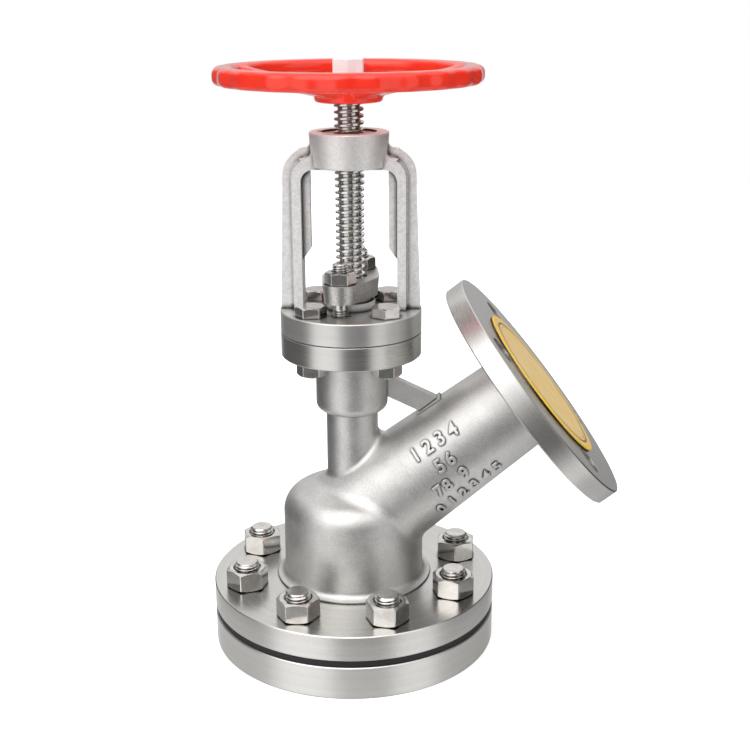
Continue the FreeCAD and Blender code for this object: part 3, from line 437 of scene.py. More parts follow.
def yoke_finish():
    """Light satin casting of the arms, with the flange and the boss turned."""
    material, s = new_material("yoke_casting")
    place = s.place()
    pits = s.noise(place, size_mm=1.3, detail=4.0, roughness=0.65)
    worms = s.noise(place, size_mm=2.4, detail=3.0, roughness=0.65, distortion=1.0)
    radius, along = axis_place(s, place)
    rings, bands = turned_rings(s, radius, along, ZONE_GROOVE_MM)
    flange = s.math("LESS_THAN", along, (BONNET_TOP + 0.1) * MM)
    boss = s.math("GREATER_THAN", along, (BOSS_FOOT - 0.5) * MM)
    boss = s.math("MULTIPLY", boss, s.math("LESS_THAN", radius, (BOSS_R + 0.3) * MM))
    inside = s.math("MAXIMUM", flange, boss)
    color = s.mix(flange, s.tint(worms, YOKE_CAST_TONES, SHARP_SPAN), s.tint(bands, YOKE_FLANGE_TONES))
    color = s.mix(boss, color, s.tint(worms, BOSS_TONES, SHARP_SPAN))
    rough = s.blend(flange, s.spread(pits, YOKE_CAST_ROUGHNESS), s.spread(rings, YOKE_FLANGE_ROUGHNESS))
    rough = s.blend(boss, rough, s.spread(rings, BOSS_ROUGHNESS))
    height = s.blend(inside, pits, s.math("MULTIPLY", rings, YOKE_RELIEF))
    # Painted shade: dark lines in the concave corners between the arms' plates and ribs
    surface(s, color, rough, height, depth_mm=0.3, strength=0.8, metallic=0.85, edge_mm=0.1,
            crevice_shade_mm=4.0, crevice_shade_range=(0.55, 0.92))
    return material


def gland_finish():
    """Sand casting of the gland plate, coarser than the body."""
    material, s = new_material("gland_casting")
    pits = s.noise(s.place(), size_mm=1.0, detail=4.0, roughness=0.65)
    color = s.tint(pits, GLAND_TONES, SHARP_SPAN)
    surface(s, color, s.spread(pits, GLAND_ROUGHNESS), pits, depth_mm=0.15, strength=0.6)
    return material


def turned_metal(name, tones, roughness):
    """Lathe-turned metal: fine rings round the stem axis and along the height."""
    material, s = new_material(name)
    radius, along = axis_place(s, s.place())
    rings, bands = turned_rings(s, radius, along, GROOVE_MM)
    surface(s, s.tint(bands, tones), s.spread(rings, roughness), rings, depth_mm=0.012, strength=0.5)
    return material


def polished_steel(name, tones, roughness, metallic=1.0):
    """Polished fasteners with faint handling marks."""
    material, s = new_material(name)
    place = s.place()
    marks = s.noise(place, size_mm=0.8, detail=4.0, roughness=0.7, distortion=0.5)
    color = s.tint(s.noise(place, size_mm=6.0), tones)
    surface(s, color, s.spread(marks, roughness), marks, depth_mm=0.02, strength=0.4, metallic=metallic,
            edge_mm=0.25)
    return material


def red_paint():
    """Thick gloss paint with a slight orange peel."""
    material, s = new_material("red_paint")
    place = s.place()
    color = s.tint(s.noise(place, size_mm=20.0), RED_TONES)
    surface(s, color, roughness=0.5, height=s.noise(place, size_mm=2.6), depth_mm=0.12, strength=0.35,
            metallic=0.0, Specular_IOR_Level=0.15, Coat_Weight=1.0, Coat_Roughness=0.04, Coat_IOR=1.5)
    return material


def yellow_film():
    """Moulded yellow plastic film, milky in patches, with two dark rings of painted shade and a clear edge.
    """
    material, s = new_material("yellow_film")
    place = s.place()
    radius = axis_place(s, place, slanted=True)[0]
    color = s.tint(s.noise(place, size_mm=9.0, detail=3.0), YELLOW_TONES, SHARP_SPAN)
    fine = s.noise(place, size_mm=2.2, detail=3.0, roughness=0.6)
    color = s.mix(s.step(fine, *STAIN_SPAN, 0.0, STAIN_SHARE), color, YELLOW_STAIN)
    # Painted shade: the colour goes dark in the groove and along a fine ring inside it
    for ring_r, half, shade in YELLOW_RINGS:
        away = s.math("ABSOLUTE", s.math("SUBTRACT", radius, ring_r * MM))
        color = s.mix(s.step(away, half * RING_CORE * MM, half * MM, shade, 0.0), color, YELLOW_RING_SHADE)
    edge = s.step(radius, YELLOW_EDGE_FROM * MM, YELLOW_EDGE_FULL * MM)
    color = s.mix(edge, color, YELLOW_EDGE)
    surface(s, color, roughness=0.42, height=s.noise(place, size_mm=5.0), depth_mm=0.25, strength=0.3,
            metallic=0.0, edge_mm=0.2)
    return material


def plain_finish(name, tones, roughness, grain_mm, metallic=0.0):
    """A simple finish with fine grain, for rubber, graphite, fluoroplastic and bronze."""
    material, s = new_material(name)
    grain = s.noise(s.place(), grain_mm, detail=3.0, roughness=0.6)
    surface(s, s.tint(grain, tones), s.spread(grain, roughness), grain, depth_mm=0.05, strength=0.4,
            metallic=metallic)
    return material


def make_finishes():
    """One finish for each material slot of the record."""
    return {
        "cast_stainless": casting_finish("blasted_casting"),
        "machined_stainless": turned_metal("turned_stainless", TURNED_TONES, TURNED_ROUGHNESS),
        "fastener_stainless": polished_steel("polished_steel", STEEL_TONES, (0.12, 0.22)),
        "bright_stem": polished_steel("bright_stem", STEM_TONES, (0.1, 0.2)),
        "zinc": polished_steel("bright_zinc", ZINC_TONES, (0.42, 0.5), metallic=0.2),
        "bronze": plain_finish("bronze", BRONZE_TONES, (0.25, 0.38), grain_mm=1.0, metallic=1.0),
        "black_rubber": plain_finish("black_rubber", RUBBER_TONES, (0.5, 0.63), grain_mm=0.6),
        "graphite": plain_finish("graphite", GRAPHITE_TONES, (0.45, 0.58), grain_mm=0.5),
        "ptfe": plain_finish("ptfe", PTFE_TONES, (0.35, 0.48), grain_mm=1.0),
        "red_paint": red_paint(),
        "yellow_plastic": yellow_film(),
    }


def dress(piece, material):
    piece.data.materials.clear()
    piece.data.materials.append(material)


def dress_castings():
    """The castings have turned flanges at their own places, so each gets its own finish."""
    chamber = (False, 0.0, BODY_FLANGE_TOP + 0.1)
    neck = (False, NECK_FLANGE_FOOT - 0.1, NECK_FLANGE_TOP + 1.0)
    branch = (True, BRANCH_LENGTH - OUTLET_FLANGE_T - 0.1, BRANCH_LENGTH + 2.0)
    dress(nodes["valve_body"], casting_finish("chamber_casting", chamber))
    dress(nodes["body_neck"], casting_finish("neck_casting", neck))
    dress(nodes["outlet_branch"], casting_finish("branch_casting", branch))
    dress(nodes["bonnet_yoke"], yoke_finish())
    dress(nodes["gland_flange"], gland_finish())


# Mesh helpers: shapes are made in millimetres and scaled once
MERGE_MM = 0.0005
SHARP_DEG = 28.0


def mesh_piece(name, bm, sharp_deg=SHARP_DEG):
    bmesh.ops.remove_doubles(bm, verts=bm.verts, dist=MERGE_MM)
    bmesh.ops.recalc_face_normals(bm, faces=bm.faces)
    bmesh.ops.scale(bm, vec=(MM, MM, MM), verts=bm.verts)
    mesh = bpy.data.meshes.new(name)
    bm.to_mesh(mesh)
    bm.free()
    mesh.shade_smooth()
    mesh.set_sharp_from_angle(angle=math.radians(sharp_deg))
    piece = bpy.data.objects.new(name, mesh)
    scene.collection.objects.link(piece)
    return piece


def add_part(bm, part):
    """Moves the faces of one bmesh into another."""
    spare = bpy.data.meshes.new("part")
    part.to_mesh(spare)
    part.free()
    bm.from_mesh(spare)
    bpy.data.meshes.remove(spare)


def add_rings(bm, rings, closed=False):
    """Skins rings of as many points each; open ends get a flat cap."""
    rows = [[bm.verts.new(point) for point in ring] for ring in rings]
    pairs = list(zip(rows, rows[1:]))
    if closed:
        pairs.append((rows[-1], rows[0]))
    else:
        bm.faces.new(rows[0][::-1])
        bm.faces.new(rows[-1])
    for low, high in pairs:
        for i in range(len(low)):
            j = (i + 1) % len(low)
            bm.faces.new((low[i], low[j], high[j], high[i]))


def circle(radius, z, count=96):
    angles = [2 * math.pi * i / count for i in range(count)]
    return [(radius * math.cos(a), radius * math.sin(a), z) for a in angles]


def circle_places(radius, count, first_deg):
    angles = [math.radians(first_deg + 360.0 / count * i) for i in range(count)]
    return [(radius * math.cos(a), radius * math.sin(a)) for a in angles]


def settle(piece):
    """Turns the result of a piece's modifiers into its plain mesh."""
    shape = piece.evaluated_get(bpy.context.evaluated_depsgraph_get())
    mesh = bpy.data.meshes.new_from_object(shape)
    piece.modifiers.clear()
    piece.data = mesh


def round_off(piece, voxel_mm, passes):
    """Runs the forms of a piece into each other, with soft corners."""
    remesh = piece.modifiers.new("blend", "REMESH")
    remesh.mode = "VOXEL"
    remesh.voxel_size = voxel_mm * MM
    remesh.use_smooth_shade = True
    smooth = piece.modifiers.new("soften", "SMOOTH")
    smooth.factor = 0.5
    smooth.iterations = passes


def stand_for(piece, node):
    """Gives a finished piece the finish and the body of the CAD node that it stands for."""
    dress(piece, finishes[slots[node]])
    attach(piece, bodies[node])
    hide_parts(node)


# Threads: crest and root radius, pitch, and the shares of the pitch that are the crest and one flank
STUD_THREAD = (8.0, 6.8, 2.0, 0.22, 0.3)
BOLT_THREAD = (5.0, 4.15, 1.5, 0.22, 0.3)
STEM_THREAD = (9.0, 6.75, 4.0, 0.36, 0.16)
TOP_THREAD = (6.0, 5.0, 1.75, 0.2, 0.3)
THREAD_CORNER = 0.12
THREAD_STEPS = 40
SPARE_TURNS = 2


def add_thread(bm, thread, low, high, end_low=None, end_high=None, start=0.0):
    """A right-hand thread cut level at both ends, started a share of its pitch higher.

    An end radius gives that end a 45 degree chamfer.
    """
    crest_r, root_r, pitch, crest, flank = thread
    corner = THREAD_CORNER * (crest_r - root_r)
    ease = corner / pitch
    profile = [(0.0, crest_r - corner), (ease, crest_r), (crest - ease, crest_r), (crest, crest_r - corner),
               (crest + flank, root_r), (1.0 - flank, root_r)]
    bottom = low - SPARE_TURNS * pitch + start * pitch
    turns = math.ceil((high - low) / pitch) + 2 * SPARE_TURNS

    def chamfered(radius, z):
        if end_high is not None:
            radius = min(radius, max(end_high + high - z, end_high / 2))
        if end_low is not None:
            radius = min(radius, max(end_low + z - low, end_low / 2))
        return radius

    screw = bmesh.new()
    columns = []
    for i in range(THREAD_STEPS):
        turn = i / THREAD_STEPS
        a = 2 * math.pi * turn
        column = []
        for n in range(turns):
            for share, radius in profile:
                z = bottom + (n + share + turn) * pitch
                r = chamfered(radius, z)
                column.append(screw.verts.new((r * math.cos(a), r * math.sin(a), z)))
        columns.append(column)
    for i, here in enumerate(columns):
        there = columns[(i + 1) % THREAD_STEPS]
        shift = len(profile) if i == THREAD_STEPS - 1 else 0
        for k in range(len(here) - 1 - shift):
            screw.faces.new((here[k], there[k + shift], there[k + 1 + shift], here[k + 1]))
    for level, below in ((low, True), (high, False)):
        everything = screw.verts[:] + screw.edges[:] + screw.faces[:]
        cut = bmesh.ops.bisect_plane(screw, geom=everything, plane_co=(0, 0, level), plane_no=(0, 0, 1),
                                     clear_inner=below, clear_outer=not below)
        rim = [part for part in cut["geom_cut"] if isinstance(part, bmesh.types.BMEdge)]
        bmesh.ops.holes_fill(screw, edges=rim, sides=0)
    add_part(bm, screw)


# Hexagons: the degrees of the points on one side; the space left at its two corners breaks the sharp edge
HEX_SIDE = (1.5, 7, 14, 22, 30, 38, 46, 53, 58.5)
HEX_ANGLES = [60 * side + deg for side in range(6) for deg in HEX_SIDE]
HEX_LAND = 0.95
CHAMFER_SLOPE = math.tan(math.radians(30))


def add_hexagon(bm, across, low, high, bore_r=None, foot_chamfer=False, countersink=0.0,
                slope=CHAMFER_SLOPE):
    """A nut, or a bolt's head where there is no bore; flats face +Y and -Y."""
    land = HEX_LAND * across / 2

    def ring(z, radius=None, chamfer=0):
        """The outline, or a circle where it has a radius; a chamfer lifts (1) or drops (-1) the corners."""
        points = []
        for deg in HEX_ANGLES:
            corner = across / 2 / math.cos(math.radians(deg % 60 - 30))
            level = z + chamfer * max(0.0, corner - land) * slope
            r = corner if radius is None else radius
            points.append((r * math.cos(math.radians(deg)), r * math.sin(math.radians(deg)), level))
        return points

    rings = [ring(low, land), ring(low, chamfer=1)] if foot_chamfer else [ring(low)]
    rings += [ring(high, chamfer=-1), ring(high, land)]
    if bore_r is not None:
        rings = [ring(low, bore_r)] + rings
        rings += [ring(high, bore_r + countersink), ring(high - countersink, bore_r)]
    add_rings(bm, rings, closed=bore_r is not None)


def new_sockets(tree, direction, kinds):
    for label, kind in kinds.items():
        tree.interface.new_socket(label, in_out=direction, socket_type="NodeSocket" + kind)


def set_inputs(modifier, values):
    """A modifier's inputs are set by the identifiers of their sockets."""
    for item in modifier.node_group.interface.items_tree:
        if item.item_type == "SOCKET" and item.in_out == "INPUT" and item.name in values:
            modifier[item.identifier] = values[item.name]


def make_places_tree():
    """Sets one fastener on each place, turned by the place's own angle."""
    tree = bpy.data.node_groups.new("fastener_places", "GeometryNodeTree")
    new_sockets(tree, "INPUT", {"Places": "Geometry", "Fastener": "Object", "Size": "Float",
                                "Finish": "Material"})
    new_sockets(tree, "OUTPUT", {"Fasteners": "Geometry"})
    s = Tree(tree)
    given = s.add("NodeGroupInput").outputs
    fastener = s.add("GeometryNodeObjectInfo", {"Object": given["Fastener"], "As Instance": True})
    turn = s.add("GeometryNodeInputNamedAttribute", {"Name": "turn"}, data_type="FLOAT")
    placing = {"Points": given["Places"], "Instance": fastener.outputs["Geometry"],
               "Rotation": s.join(z=turn.outputs["Attribute"]), "Scale": given["Size"]}
    placed = s.add("GeometryNodeInstanceOnPoints", placing)
    real = s.add("GeometryNodeRealizeInstances", {"Geometry": placed.outputs[0]})
    dressed = s.add("GeometryNodeSetMaterial", {"Geometry": real.outputs[0], "Material": given["Finish"]})
    s.add("NodeGroupOutput", {"Fasteners": dressed.outputs[0]})
    return tree


def fit_row(name, bm, places, turns, node):
    """Copies of one fastener on its places, each at its own turn, in the place of a CAD node."""
    fastener = mesh_piece("fastener", bm)
    mesh = bpy.data.meshes.new(name)
    mesh.from_pydata([(x * MM, y * MM, 0) for x, y in places], [], [])
    angles = [math.radians(turn) for turn in turns]
    mesh.attributes.new("turn", "FLOAT", "POINT").data.foreach_set("value", angles)
    row = bpy.data.objects.new(name, mesh)
    scene.collection.objects.link(row)
    modifier = row.modifiers.new("places", "NODES")
    modifier.node_group = places_tree
    set_inputs(modifier, {"Fastener": fastener, "Size": 1.0, "Finish": finishes[slots[node]]})
    settle(row)
    bpy.data.objects.remove(fastener)
    stand_for(row, node)


# Fasteners: the degrees at which each stud, nut and head stopped, and how far a shank laps its thread
STUD_TURNS = (0, 140, 35, 250, 80, 200, 310, 115)
END_NUT_TURNS = (28, 12, 37, 41, 19, 1, -8, -16)
BONNET_HEAD_TURNS = (12, -9, 5, 27)
STUD_POINTS = 48
BOLT_POINTS = 40
GLAND_SHANK_R = 4.75
LAP = 0.5


def make_end_fasteners():
    """Eight studs with threaded ends, and their nuts, each stopped at its own turn."""
    places = circle_places(END_PITCH_R, END_BOLTS, 180.0 / END_BOLTS + END_TURN)
    stud_r = STUD_THREAD[0]
    stud = bmesh.new()
    add_thread(stud, STUD_THREAD, BODY_FLANGE_TOP, STUD_TOP, end_high=6.5)
    add_rings(stud, [circle(stud_r, z, STUD_POINTS) for z in (STUD_FOOT, BODY_FLANGE_TOP + LAP)])
    fit_row("stud_row", stud, places, STUD_TURNS, "flange_studs")
    nut = bmesh.new()
    add_hexagon(nut, END_NUT_AF, BODY_FLANGE_TOP, END_NUT_TOP, bore_r=stud_r - 0.4, foot_chamfer=True,
                countersink=1.5)
    fit_row("end_nuts", nut, places, END_NUT_TURNS, "flange_nuts")


def make_bonnet_fasteners():
    """Four hexagon bolts from above and their nuts under the neck flange."""
    places = circle_places(BONNET_PITCH_R, BONNET_BOLTS, 180.0 / BONNET_BOLTS)
    bolt_r = BOLT_THREAD[0]
    shank_foot = BONNET_NUT_FOOT + 1.0
    bolt = bmesh.new()
    add_hexagon(bolt, BONNET_AF, BONNET_TOP, BOLT_TOP)
    add_rings(bolt, [circle(bolt_r, z, BOLT_POINTS) for z in (shank_foot, BONNET_TOP + LAP)])
    add_thread(bolt, BOLT_THREAD, BOLT_FOOT, shank_foot + LAP, end_low=4.0)
    fit_row("bonnet_bolt_row", bolt, places, BONNET_HEAD_TURNS, "bonnet_bolts")
    nut = bmesh.new()
    add_hexagon(nut, BONNET_AF, BONNET_NUT_FOOT, NECK_FLANGE_FOOT, bore_r=bolt_r - 0.3, foot_chamfer=True,
                countersink=0.4)
    fit_row("bonnet_nut_row", nut, places, (0,) * BONNET_BOLTS, "bonnet_nuts")


def make_gland_fasteners():
    """Two studs, threaded at both ends, and their nuts on the gland plate."""
    places = circle_places(GLAND_PITCH_R, GLAND_STUDS, 180.0 / GLAND_STUDS + GLAND_TURN)
    foot_thread_top = BONNET_TOP + 5.0
    top_thread_foot = GLAND_NUT_FOOT - 2.0
    stud = bmesh.new()
    add_thread(stud, BOLT_THREAD, GLAND_STUD_FOOT, foot_thread_top, start=0.3)
    shank = (foot_thread_top - LAP, GLAND_NUT_FOOT + LAP)
    add_rings(stud, [circle(GLAND_SHANK_R, z, BOLT_POINTS) for z in shank])
    add_thread(stud, BOLT_THREAD, top_thread_foot, GLAND_STUD_TOP, end_high=3.9)
    fit_row("gland_stud_pair", stud, places, (0, 90), "gland_studs")
    nut = bmesh.new()
    bore_r = BOLT_THREAD[0] + 0.05
    add_hexagon(nut, BONNET_AF, GLAND_NUT_FOOT, GLAND_NUT_TOP, bore_r, countersink=0.5)
    fit_row("gland_nut_pair", nut, places, (0, 0), "gland_nuts")


# Stem, in millimetres
STEM_HEAD_R = 12.0
STEM_HEAD_H = 5.7
STEM_HEAD_EDGE = 0.6
STEM_COLLAR_R = 11.5
STEM_COLLAR_H = 8.0
BACKSEAT_CONE_H = 2.0
LIFT = 36.0
BACKSEAT_GAP = 0.3
STEM_THREAD_FOOT = 224.0
SQUARE_HALF = 6.0


def make_stem():
    """Button head, shank and collar, the trapezoidal thread, and the threaded top end."""
    shank_r = STEM_THREAD[0]
    head_top = STEM_FOOT + STEM_HEAD_H
    collar_top = BUSH_FOOT - LIFT - BACKSEAT_GAP
    collar_foot = collar_top - STEM_COLLAR_H
    outline = [(STEM_HEAD_R - STEM_HEAD_EDGE, STEM_FOOT), (STEM_HEAD_R, STEM_FOOT + STEM_HEAD_EDGE),
               (STEM_HEAD_R, head_top), (shank_r, head_top), (shank_r, collar_foot),
               (STEM_COLLAR_R, collar_foot), (STEM_COLLAR_R, collar_top - BACKSEAT_CONE_H),
               (shank_r, collar_top), (shank_r, STEM_THREAD_FOOT + LAP)]
    bm = bmesh.new()
    add_rings(bm, [circle(r, z) for r, z in outline])
    add_thread(bm, STEM_THREAD, STEM_THREAD_FOOT, HUB_FOOT, start=0.1)
    add_thread(bm, TOP_THREAD, HUB_FOOT - 2 * LAP, STEM_TOP, end_high=4.8)
    corners = [(SQUARE_HALF * x, SQUARE_HALF * y) for x, y in ((1, 1), (-1, 1), (-1, -1), (1, -1))]
    add_rings(bm, [[(x, y, z) for x, y in corners] for z in (HUB_FOOT - LAP, HUB_FOOT + HUB_H - 0.1)])
    stand_for(mesh_piece("threaded_stem", bm), "stem")


WHEEL_NUT_AF = 18.0


def make_wheel_nut():
    """The nut on the stem's end has its corners toward +Y and -Y, and flat chamfers."""
    bm = bmesh.new()
    add_hexagon(bm, WHEEL_NUT_AF, WHEEL_NUT_FOOT, WHEEL_NUT_TOP, bore_r=5.8, countersink=0.5, slope=0.2)
    turn = Matrix.Rotation(math.radians(30), 3, "Z")
    bmesh.ops.rotate(bm, verts=bm.verts, cent=(0, 0, 0), matrix=turn)
    stand_for(mesh_piece("domed_wheel_nut", bm), "wheel_nut")


# Handwheel, in millimetres: the hub's outline gives radius and height above its foot, and a spoke's section
# gives its distance from the axis, its share of the way up to the rim, its width and its thickness.
# The waves are at their full depth a share of the corner inside the rim's edge.
WHEEL_R = round(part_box("handwheel")[1][0] / MM, 3)
RIM_H = 10.8
RIM_W = 13.0
RIM_CORNER = 4.2
RIM_CORNER_STEPS = 6
RIM_POINTS = 480
RIM_LEVEL = WHEEL_TOP - RIM_H / 2
WAVES = 24
WAVE_DEPTH = 1.1
CREST_INSET = 0.3
SPOKES = 5
SPOKE_DROP = 4.7
SPOKE_CORNER_SHARE = 0.42
SPOKE_CORNER_MOST = 3.0
SPOKE_SECTIONS = ((15.0, 0.0, 24.0, 8.8), (20.0, 0.02, 19.0, 8.4), (25.0, 0.1, 16.6, 8.0),
                  (45.0, 0.48, 13.4, 7.0), (62.0, 0.85, 11.6, 7.0), (67.5, 0.97, 13.4, 7.4),
                  (71.0, 1.0, 17.0, 8.0), (74.5, 1.0, 21.0, 8.6))
HUB_OUTLINE = ((19.2, 0.0), (20.2, 0.5), (20.6, 1.6),
               (22.0, HUB_H - 2.4), (21.2, HUB_H - 0.9), (19.4, HUB_H))
HUB_HOLE_HALF = 6.1
WHEEL_VOXEL_MM = 0.72


def make_rim_tree():
    """A rounded bar bent to a ring, its outside waved for the fingers, with spokes and a hub set in."""
    tree = bpy.data.node_groups.new("waved_rim", "GeometryNodeTree")
    new_sockets(tree, "INPUT", {"Hub": "Geometry", "Spoke": "Object", "Spokes": "Int"})
    sizes = ("Rim Radius", "Rim Width", "Rim Height", "Rim Level", "Corner", "Waves", "Wave Depth")
    new_sockets(tree, "INPUT", {label: "Float" for label in sizes})
    new_sockets(tree, "INPUT", {"Finish": "Material"})
    new_sockets(tree, "OUTPUT", {"Wheel": "Geometry"})
    s = Tree(tree)
    given = s.add("NodeGroupInput").outputs
    middle = s.math("SUBTRACT", given["Rim Radius"], s.math("MULTIPLY", given["Rim Width"], 0.5))
    ring = s.add("GeometryNodeCurvePrimitiveCircle", {"Resolution": RIM_POINTS, "Radius": middle})
    section = {"Width": given["Rim Width"], "Height": given["Rim Height"]}
    bar = s.add("GeometryNodeCurvePrimitiveQuadrilateral", section)
    corners = {"Curve": bar.outputs[0], "Radius": given["Corner"], "Count": RIM_CORNER_STEPS}
    rounded = s.add("GeometryNodeFilletCurve", corners, mode="POLY")
    sweep = {"Curve": ring.outputs["Curve"], "Profile Curve": rounded.outputs[0]}
    rim = s.add("GeometryNodeCurveToMesh", sweep)
    x, y = s.split(s.add("GeometryNodeInputPosition").outputs[0])[:2]
    radius = s.length(x, y)
    phase = s.math("MULTIPLY", s.math("ARCTAN2", y, x), given["Waves"])
    hollow = s.math("MULTIPLY", s.math("SUBTRACT", 1.0, s.math("COSINE", phase)), 0.5)
    crest = s.math("SUBTRACT", given["Rim Radius"], s.math("MULTIPLY", given["Corner"], CREST_INSET))
    outer = s.step(radius, middle, crest)
    depth = s.math("MULTIPLY", given["Wave Depth"], -1.0)
    inward = s.math("MULTIPLY", s.math("MULTIPLY", hollow, outer), depth)
    shift_x = s.math("MULTIPLY", s.math("DIVIDE", x, radius), inward)
    shift_y = s.math("MULTIPLY", s.math("DIVIDE", y, radius), inward)
    shift = s.join(shift_x, shift_y, given["Rim Level"])
    waved = s.add("GeometryNodeSetPosition", {"Geometry": rim.outputs[0], "Offset": shift})
    spoke = s.add("GeometryNodeObjectInfo", {"Object": given["Spoke"], "As Instance": True})
    star = s.add("GeometryNodeMeshLine", {"Count": given["Spokes"], "Offset": (0, 0, 0)})
    step = s.math("DIVIDE", 2 * math.pi, given["Spokes"])
    turn = s.math("MULTIPLY", s.add("GeometryNodeInputIndex").outputs[0], step)
    rotation = s.join(z=s.math("ADD", turn, math.pi / 2))
    placing = {"Points": star.outputs[0], "Instance": spoke.outputs["Geometry"], "Rotation": rotation}
    spokes = s.add("GeometryNodeInstanceOnPoints", placing)
    joined = s.add("GeometryNodeJoinGeometry")
    for part in (given["Hub"], waved.outputs[0], spokes.outputs[0]):
        tree.links.new(part, joined.inputs[0])
    real = s.add("GeometryNodeRealizeInstances", {"Geometry": joined.outputs[0]})
    dressed = s.add("GeometryNodeSetMaterial", {"Geometry": real.outputs[0], "Material": given["Finish"]})
    s.add("NodeGroupOutput", {"Wheel": dressed.outputs[0]})
    return tree


def rounded_section(half_w, half_t, corner, steps=5):
    """Points round a rectangle with round corners."""
    points = []
    for side_x, side_y, first in ((1, 1, 0), (-1, 1, 90), (-1, -1, 180), (1, -1, 270)):
        for i in range(steps + 1):
            a = math.radians(first + 90.0 * i / steps)
            x = side_x * (half_w - corner) + corner * math.cos(a)
            y = side_y * (half_t - corner) + corner * math.sin(a)
            points.append((x, y))
    return points


def make_spoke():
    """One spoke toward +X: wide at the hub, slender in the middle, spreading again into the rim."""
    low = HUB_FOOT + HUB_H - SPOKE_DROP
    rings = []
    for x, share, width, thick in SPOKE_SECTIONS:
        middle = low + (RIM_LEVEL - low) * share
        corner = min(thick * SPOKE_CORNER_SHARE, SPOKE_CORNER_MOST)
        section = rounded_section(width / 2, thick / 2, corner)
        rings.append([(x, y, middle + rise) for y, rise in section])
    bm = bmesh.new()
    add_rings(bm, rings)
    return mesh_piece("spoke", bm)


def square_hole(z):
    """As many points as a circle has, on the square hole of the hub."""
    points = []
    for x, y, level in circle(1.0, z):
        reach = HUB_HOLE_HALF / max(abs(x), abs(y))
        points.append((x * reach, y * reach, level))
    return points


def make_handwheel():
    """Cast wheel: rim, spokes and hub run into each other, so the joined form is remeshed and smoothed."""
    outside = [circle(radius, HUB_FOOT + height) for radius, height in HUB_OUTLINE]
    bm = bmesh.new()
    add_rings(bm, [square_hole(HUB_FOOT)] + outside + [square_hole(HUB_FOOT + HUB_H)], closed=True)
    wheel = mesh_piece("red_handwheel", bm)
    spoke = make_spoke()
    modifier = wheel.modifiers.new("wheel", "NODES")
    modifier.node_group = make_rim_tree()
    set_inputs(modifier, {"Spoke": spoke, "Spokes": SPOKES, "Rim Radius": WHEEL_R * MM,
                          "Rim Width": RIM_W * MM, "Rim Height": RIM_H * MM, "Rim Level": RIM_LEVEL * MM,
                          "Corner": RIM_CORNER * MM, "Waves": float(WAVES), "Wave Depth": WAVE_DEPTH * MM,
                          "Finish": finishes["red_paint"]})
    round_off(wheel, WHEEL_VOXEL_MM, passes=3)
    settle(wheel)
    bpy.data.objects.remove(spoke)
    stand_for(wheel, "handwheel")


def on_branch(radius, turn, along):
    """A point by its distance from the branch axis, angle from the upper side and place along the axis."""
    side = Vector((0, -1, 0))
    point = BRANCH_AXIS * along + (BRANCH_UP * math.cos(turn) + side * math.sin(turn)) * radius
    return point + Vector((0, 0, BRANCH_Z))


# Outlet cover, in millimetres: a thin moulded cap with a plug, slightly rippled where it bridges the bore
COVER_SEAT = 153.4
COVER_FACE = COVER_SEAT + 0.8
COVER_POINTS = 144
COVER_MIDDLE_R = 0.02
COVER_STEP = 1.6
COVER_STEPS = 27
GROOVE_DEPTH = 0.3
GROOVE_HALF_W = 0.7
GROOVE_STEPS = (-1.6, -1.0, -0.5, 0.0, 0.5, 1.0, 1.6, 2.6, 3.8, 5.0, 5.7)
RIPPLE = 0.28
RIPPLES_PER_MM = 0.055
RIPPLE_CALM = (8.0, 9.0)
DISH_R = 27.0
DISH_DEPTH = 0.25
BAR_HEIGHT = 0.4
BAR_HALF_W = 1.0
BAR_HALF_LENGTH = 13.5
PLUG_R = 24.7
PLUG_WALL = 1.6
PLUG_DEPTH = 8.0
COVER_GAP = 0.02
COVER_WEB = 0.2


def cover_lift(radius, turn):
    """Ripples that fade at the middle and the edge, a ring groove, a shallow dish and a raised bar."""
    along = radius * math.cos(turn)
    across = radius * math.sin(turn)
    calm = min(1.0, radius / RIPPLE_CALM[0]) * min(1.0, max(0.0, (COVER_R - radius) / RIPPLE_CALM[1]))
    ripple = RIPPLE * noise.noise(Vector((along, across, 0)) * RIPPLES_PER_MM) * calm
    groove = GROOVE_DEPTH * math.exp(-((radius - COVER_GROOVE_R) / GROOVE_HALF_W) ** 2)
    dish = DISH_DEPTH * max(0.0, 1.0 - (radius / DISH_R) ** 2)
    bar_end = min(1.0, max(0.0, BAR_HALF_LENGTH - abs(along)))
    bar = BAR_HEIGHT * math.exp(-(across / BAR_HALF_W) ** 2) * bar_end
    return ripple - groove - dish + bar


def make_cover():
    """Rings over the face from the middle outwards, then round the edge, the back and the plug."""
    turns = [2 * math.pi * i / COVER_POINTS for i in range(COVER_POINTS)]
    radii = [COVER_MIDDLE_R] + [COVER_STEP * i for i in range(1, COVER_STEPS + 1)]
    radii += [COVER_GROOVE_R + step for step in GROOVE_STEPS]
    rings = [[on_branch(r, turn, COVER_FACE + cover_lift(r, turn)) for turn in turns] for r in radii]
    plug_in = PLUG_R - PLUG_WALL
    back = COVER_SEAT + COVER_GAP
    inside = COVER_SEAT - COVER_WEB
    outline = ((COVER_R - 0.2, COVER_FACE - 0.12), (COVER_R, COVER_FACE - 0.35), (COVER_R, back),
               (PLUG_R, back), (PLUG_R, COVER_SEAT - PLUG_DEPTH), (plug_in, COVER_SEAT - PLUG_DEPTH),
               (plug_in, inside), (COVER_MIDDLE_R, inside))
    rings += [[on_branch(r, turn, along) for turn in turns] for r, along in outline]
    bm = bmesh.new()
    add_rings(bm, rings)
    stand_for(mesh_piece("yellow_cover", bm, sharp_deg=40.0), "outlet_cover")


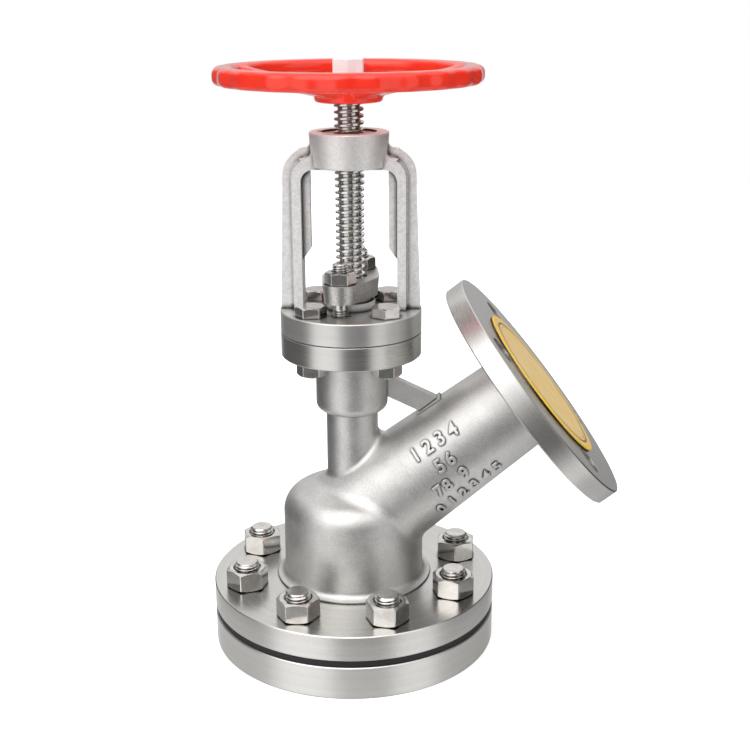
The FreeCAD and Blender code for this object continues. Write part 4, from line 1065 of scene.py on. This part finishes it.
# Raised casting marks, in millimetres: plain digits in four rows round the branch, reading along its axis.
# A row has its digits, its middle along the branch, its turn in degrees, the spacing and the height.
MARK_ROWS = (("1234", 80.6, 57.0, 9.5, 9.6), ("56", 79.2, 82.0, 8.0, 9.0), ("78 9", 74.5, 104.5, 6.6, 8.6),
             ("012345", 79.6, 127.0, 9.0, 8.0))
MARK_RISE = 1.05
MARK_ROOT = 0.7
MARK_SWELL = 0.32
MARK_NARROWING = 0.92
MARK_EDGE = 1.2
MARK_SPLITS = 5
MARK_VOXEL_MM = 0.22


def branch_outside(along):
    """Radius of the tapered branch at a place along its axis."""
    taper = (BRANCH_ROOT_R - BRANCH_END_R) / (BRANCH_LENGTH - OUTLET_FLANGE_T / 2)
    return BRANCH_ROOT_R - taper * along


def digit_form(digit):
    """A thick digit of the plain built-in font, one unit in size."""
    text = bpy.data.curves.new("digit", "FONT")
    text.body = digit
    text.align_x = "CENTER"
    text.align_y = "CENTER"
    text.offset = 0.015
    text.extrude = 0.1
    text.resolution_u = 6
    carrier = bpy.data.objects.new("digit", text)
    scene.collection.objects.link(carrier)
    shape = carrier.evaluated_get(bpy.context.evaluated_depsgraph_get())
    mesh = bpy.data.meshes.new_from_object(shape)
    bpy.data.objects.remove(carrier)
    part = bmesh.new()
    part.from_mesh(mesh)
    bpy.data.meshes.remove(mesh)
    bmesh.ops.remove_doubles(part, verts=part.verts, dist=0.0001)
    bmesh.ops.triangulate(part, faces=part.faces)
    return part


def split_edges(part, scale):
    """Divides long edges, so that the digit can bend round the branch."""
    for _ in range(MARK_SPLITS):
        long_edges = [edge for edge in part.edges if edge.calc_length() * scale > MARK_EDGE]
        if not long_edges:
            break
        bmesh.ops.subdivide_edges(part, edges=long_edges, cuts=1)
        bmesh.ops.triangulate(part, faces=part.faces)


def bent_digit(digit, middle, turn_deg, height):
    """One digit wrapped on the branch, with its root sunk into the casting."""
    part = digit_form(digit)
    ys = [vert.co.y for vert in part.verts]
    scale = height / (max(ys) - min(ys))
    mid_y = (max(ys) + min(ys)) / 2
    split_edges(part, scale)
    for vert in part.verts:
        along = middle + vert.co.x * scale * MARK_NARROWING
        across = (vert.co.y - mid_y) * scale
        radius = branch_outside(along)
        rise = MARK_RISE if vert.co.z > 0 else -MARK_ROOT
        vert.co = on_branch(radius + rise, math.radians(turn_deg) - across / radius, along)
    return part


def make_marks():
    """The digits of all rows are rounded together, like the marks of a casting."""
    bm = bmesh.new()
    for digits, row_middle, turn_deg, pitch, height in MARK_ROWS:
        for i, digit in enumerate(digits):
            if digit != " ":
                middle = row_middle + (i - (len(digits) - 1) / 2) * pitch
                add_part(bm, bent_digit(digit, middle, turn_deg, height))
    marks = mesh_piece("cast_digits", bm)
    round_off(marks, MARK_VOXEL_MM, passes=2)
    swell = marks.modifiers.new("swell", "DISPLACE")
    swell.strength = MARK_SWELL * MM
    swell.mid_level = 0.0
    settle(marks)
    dress(marks, finishes["cast_stainless"])
    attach(marks, bodies["outlet_branch"])


make_camera()
make_studio()
make_floor()
finishes = make_finishes()
for name, node in nodes.items():
    dress(node, finishes[slots[name]])
dress_castings()

places_tree = make_places_tree()
make_end_fasteners()
make_bonnet_fasteners()
make_gland_fasteners()
make_stem()
make_wheel_nut()
make_handwheel()
make_cover()
make_marks()
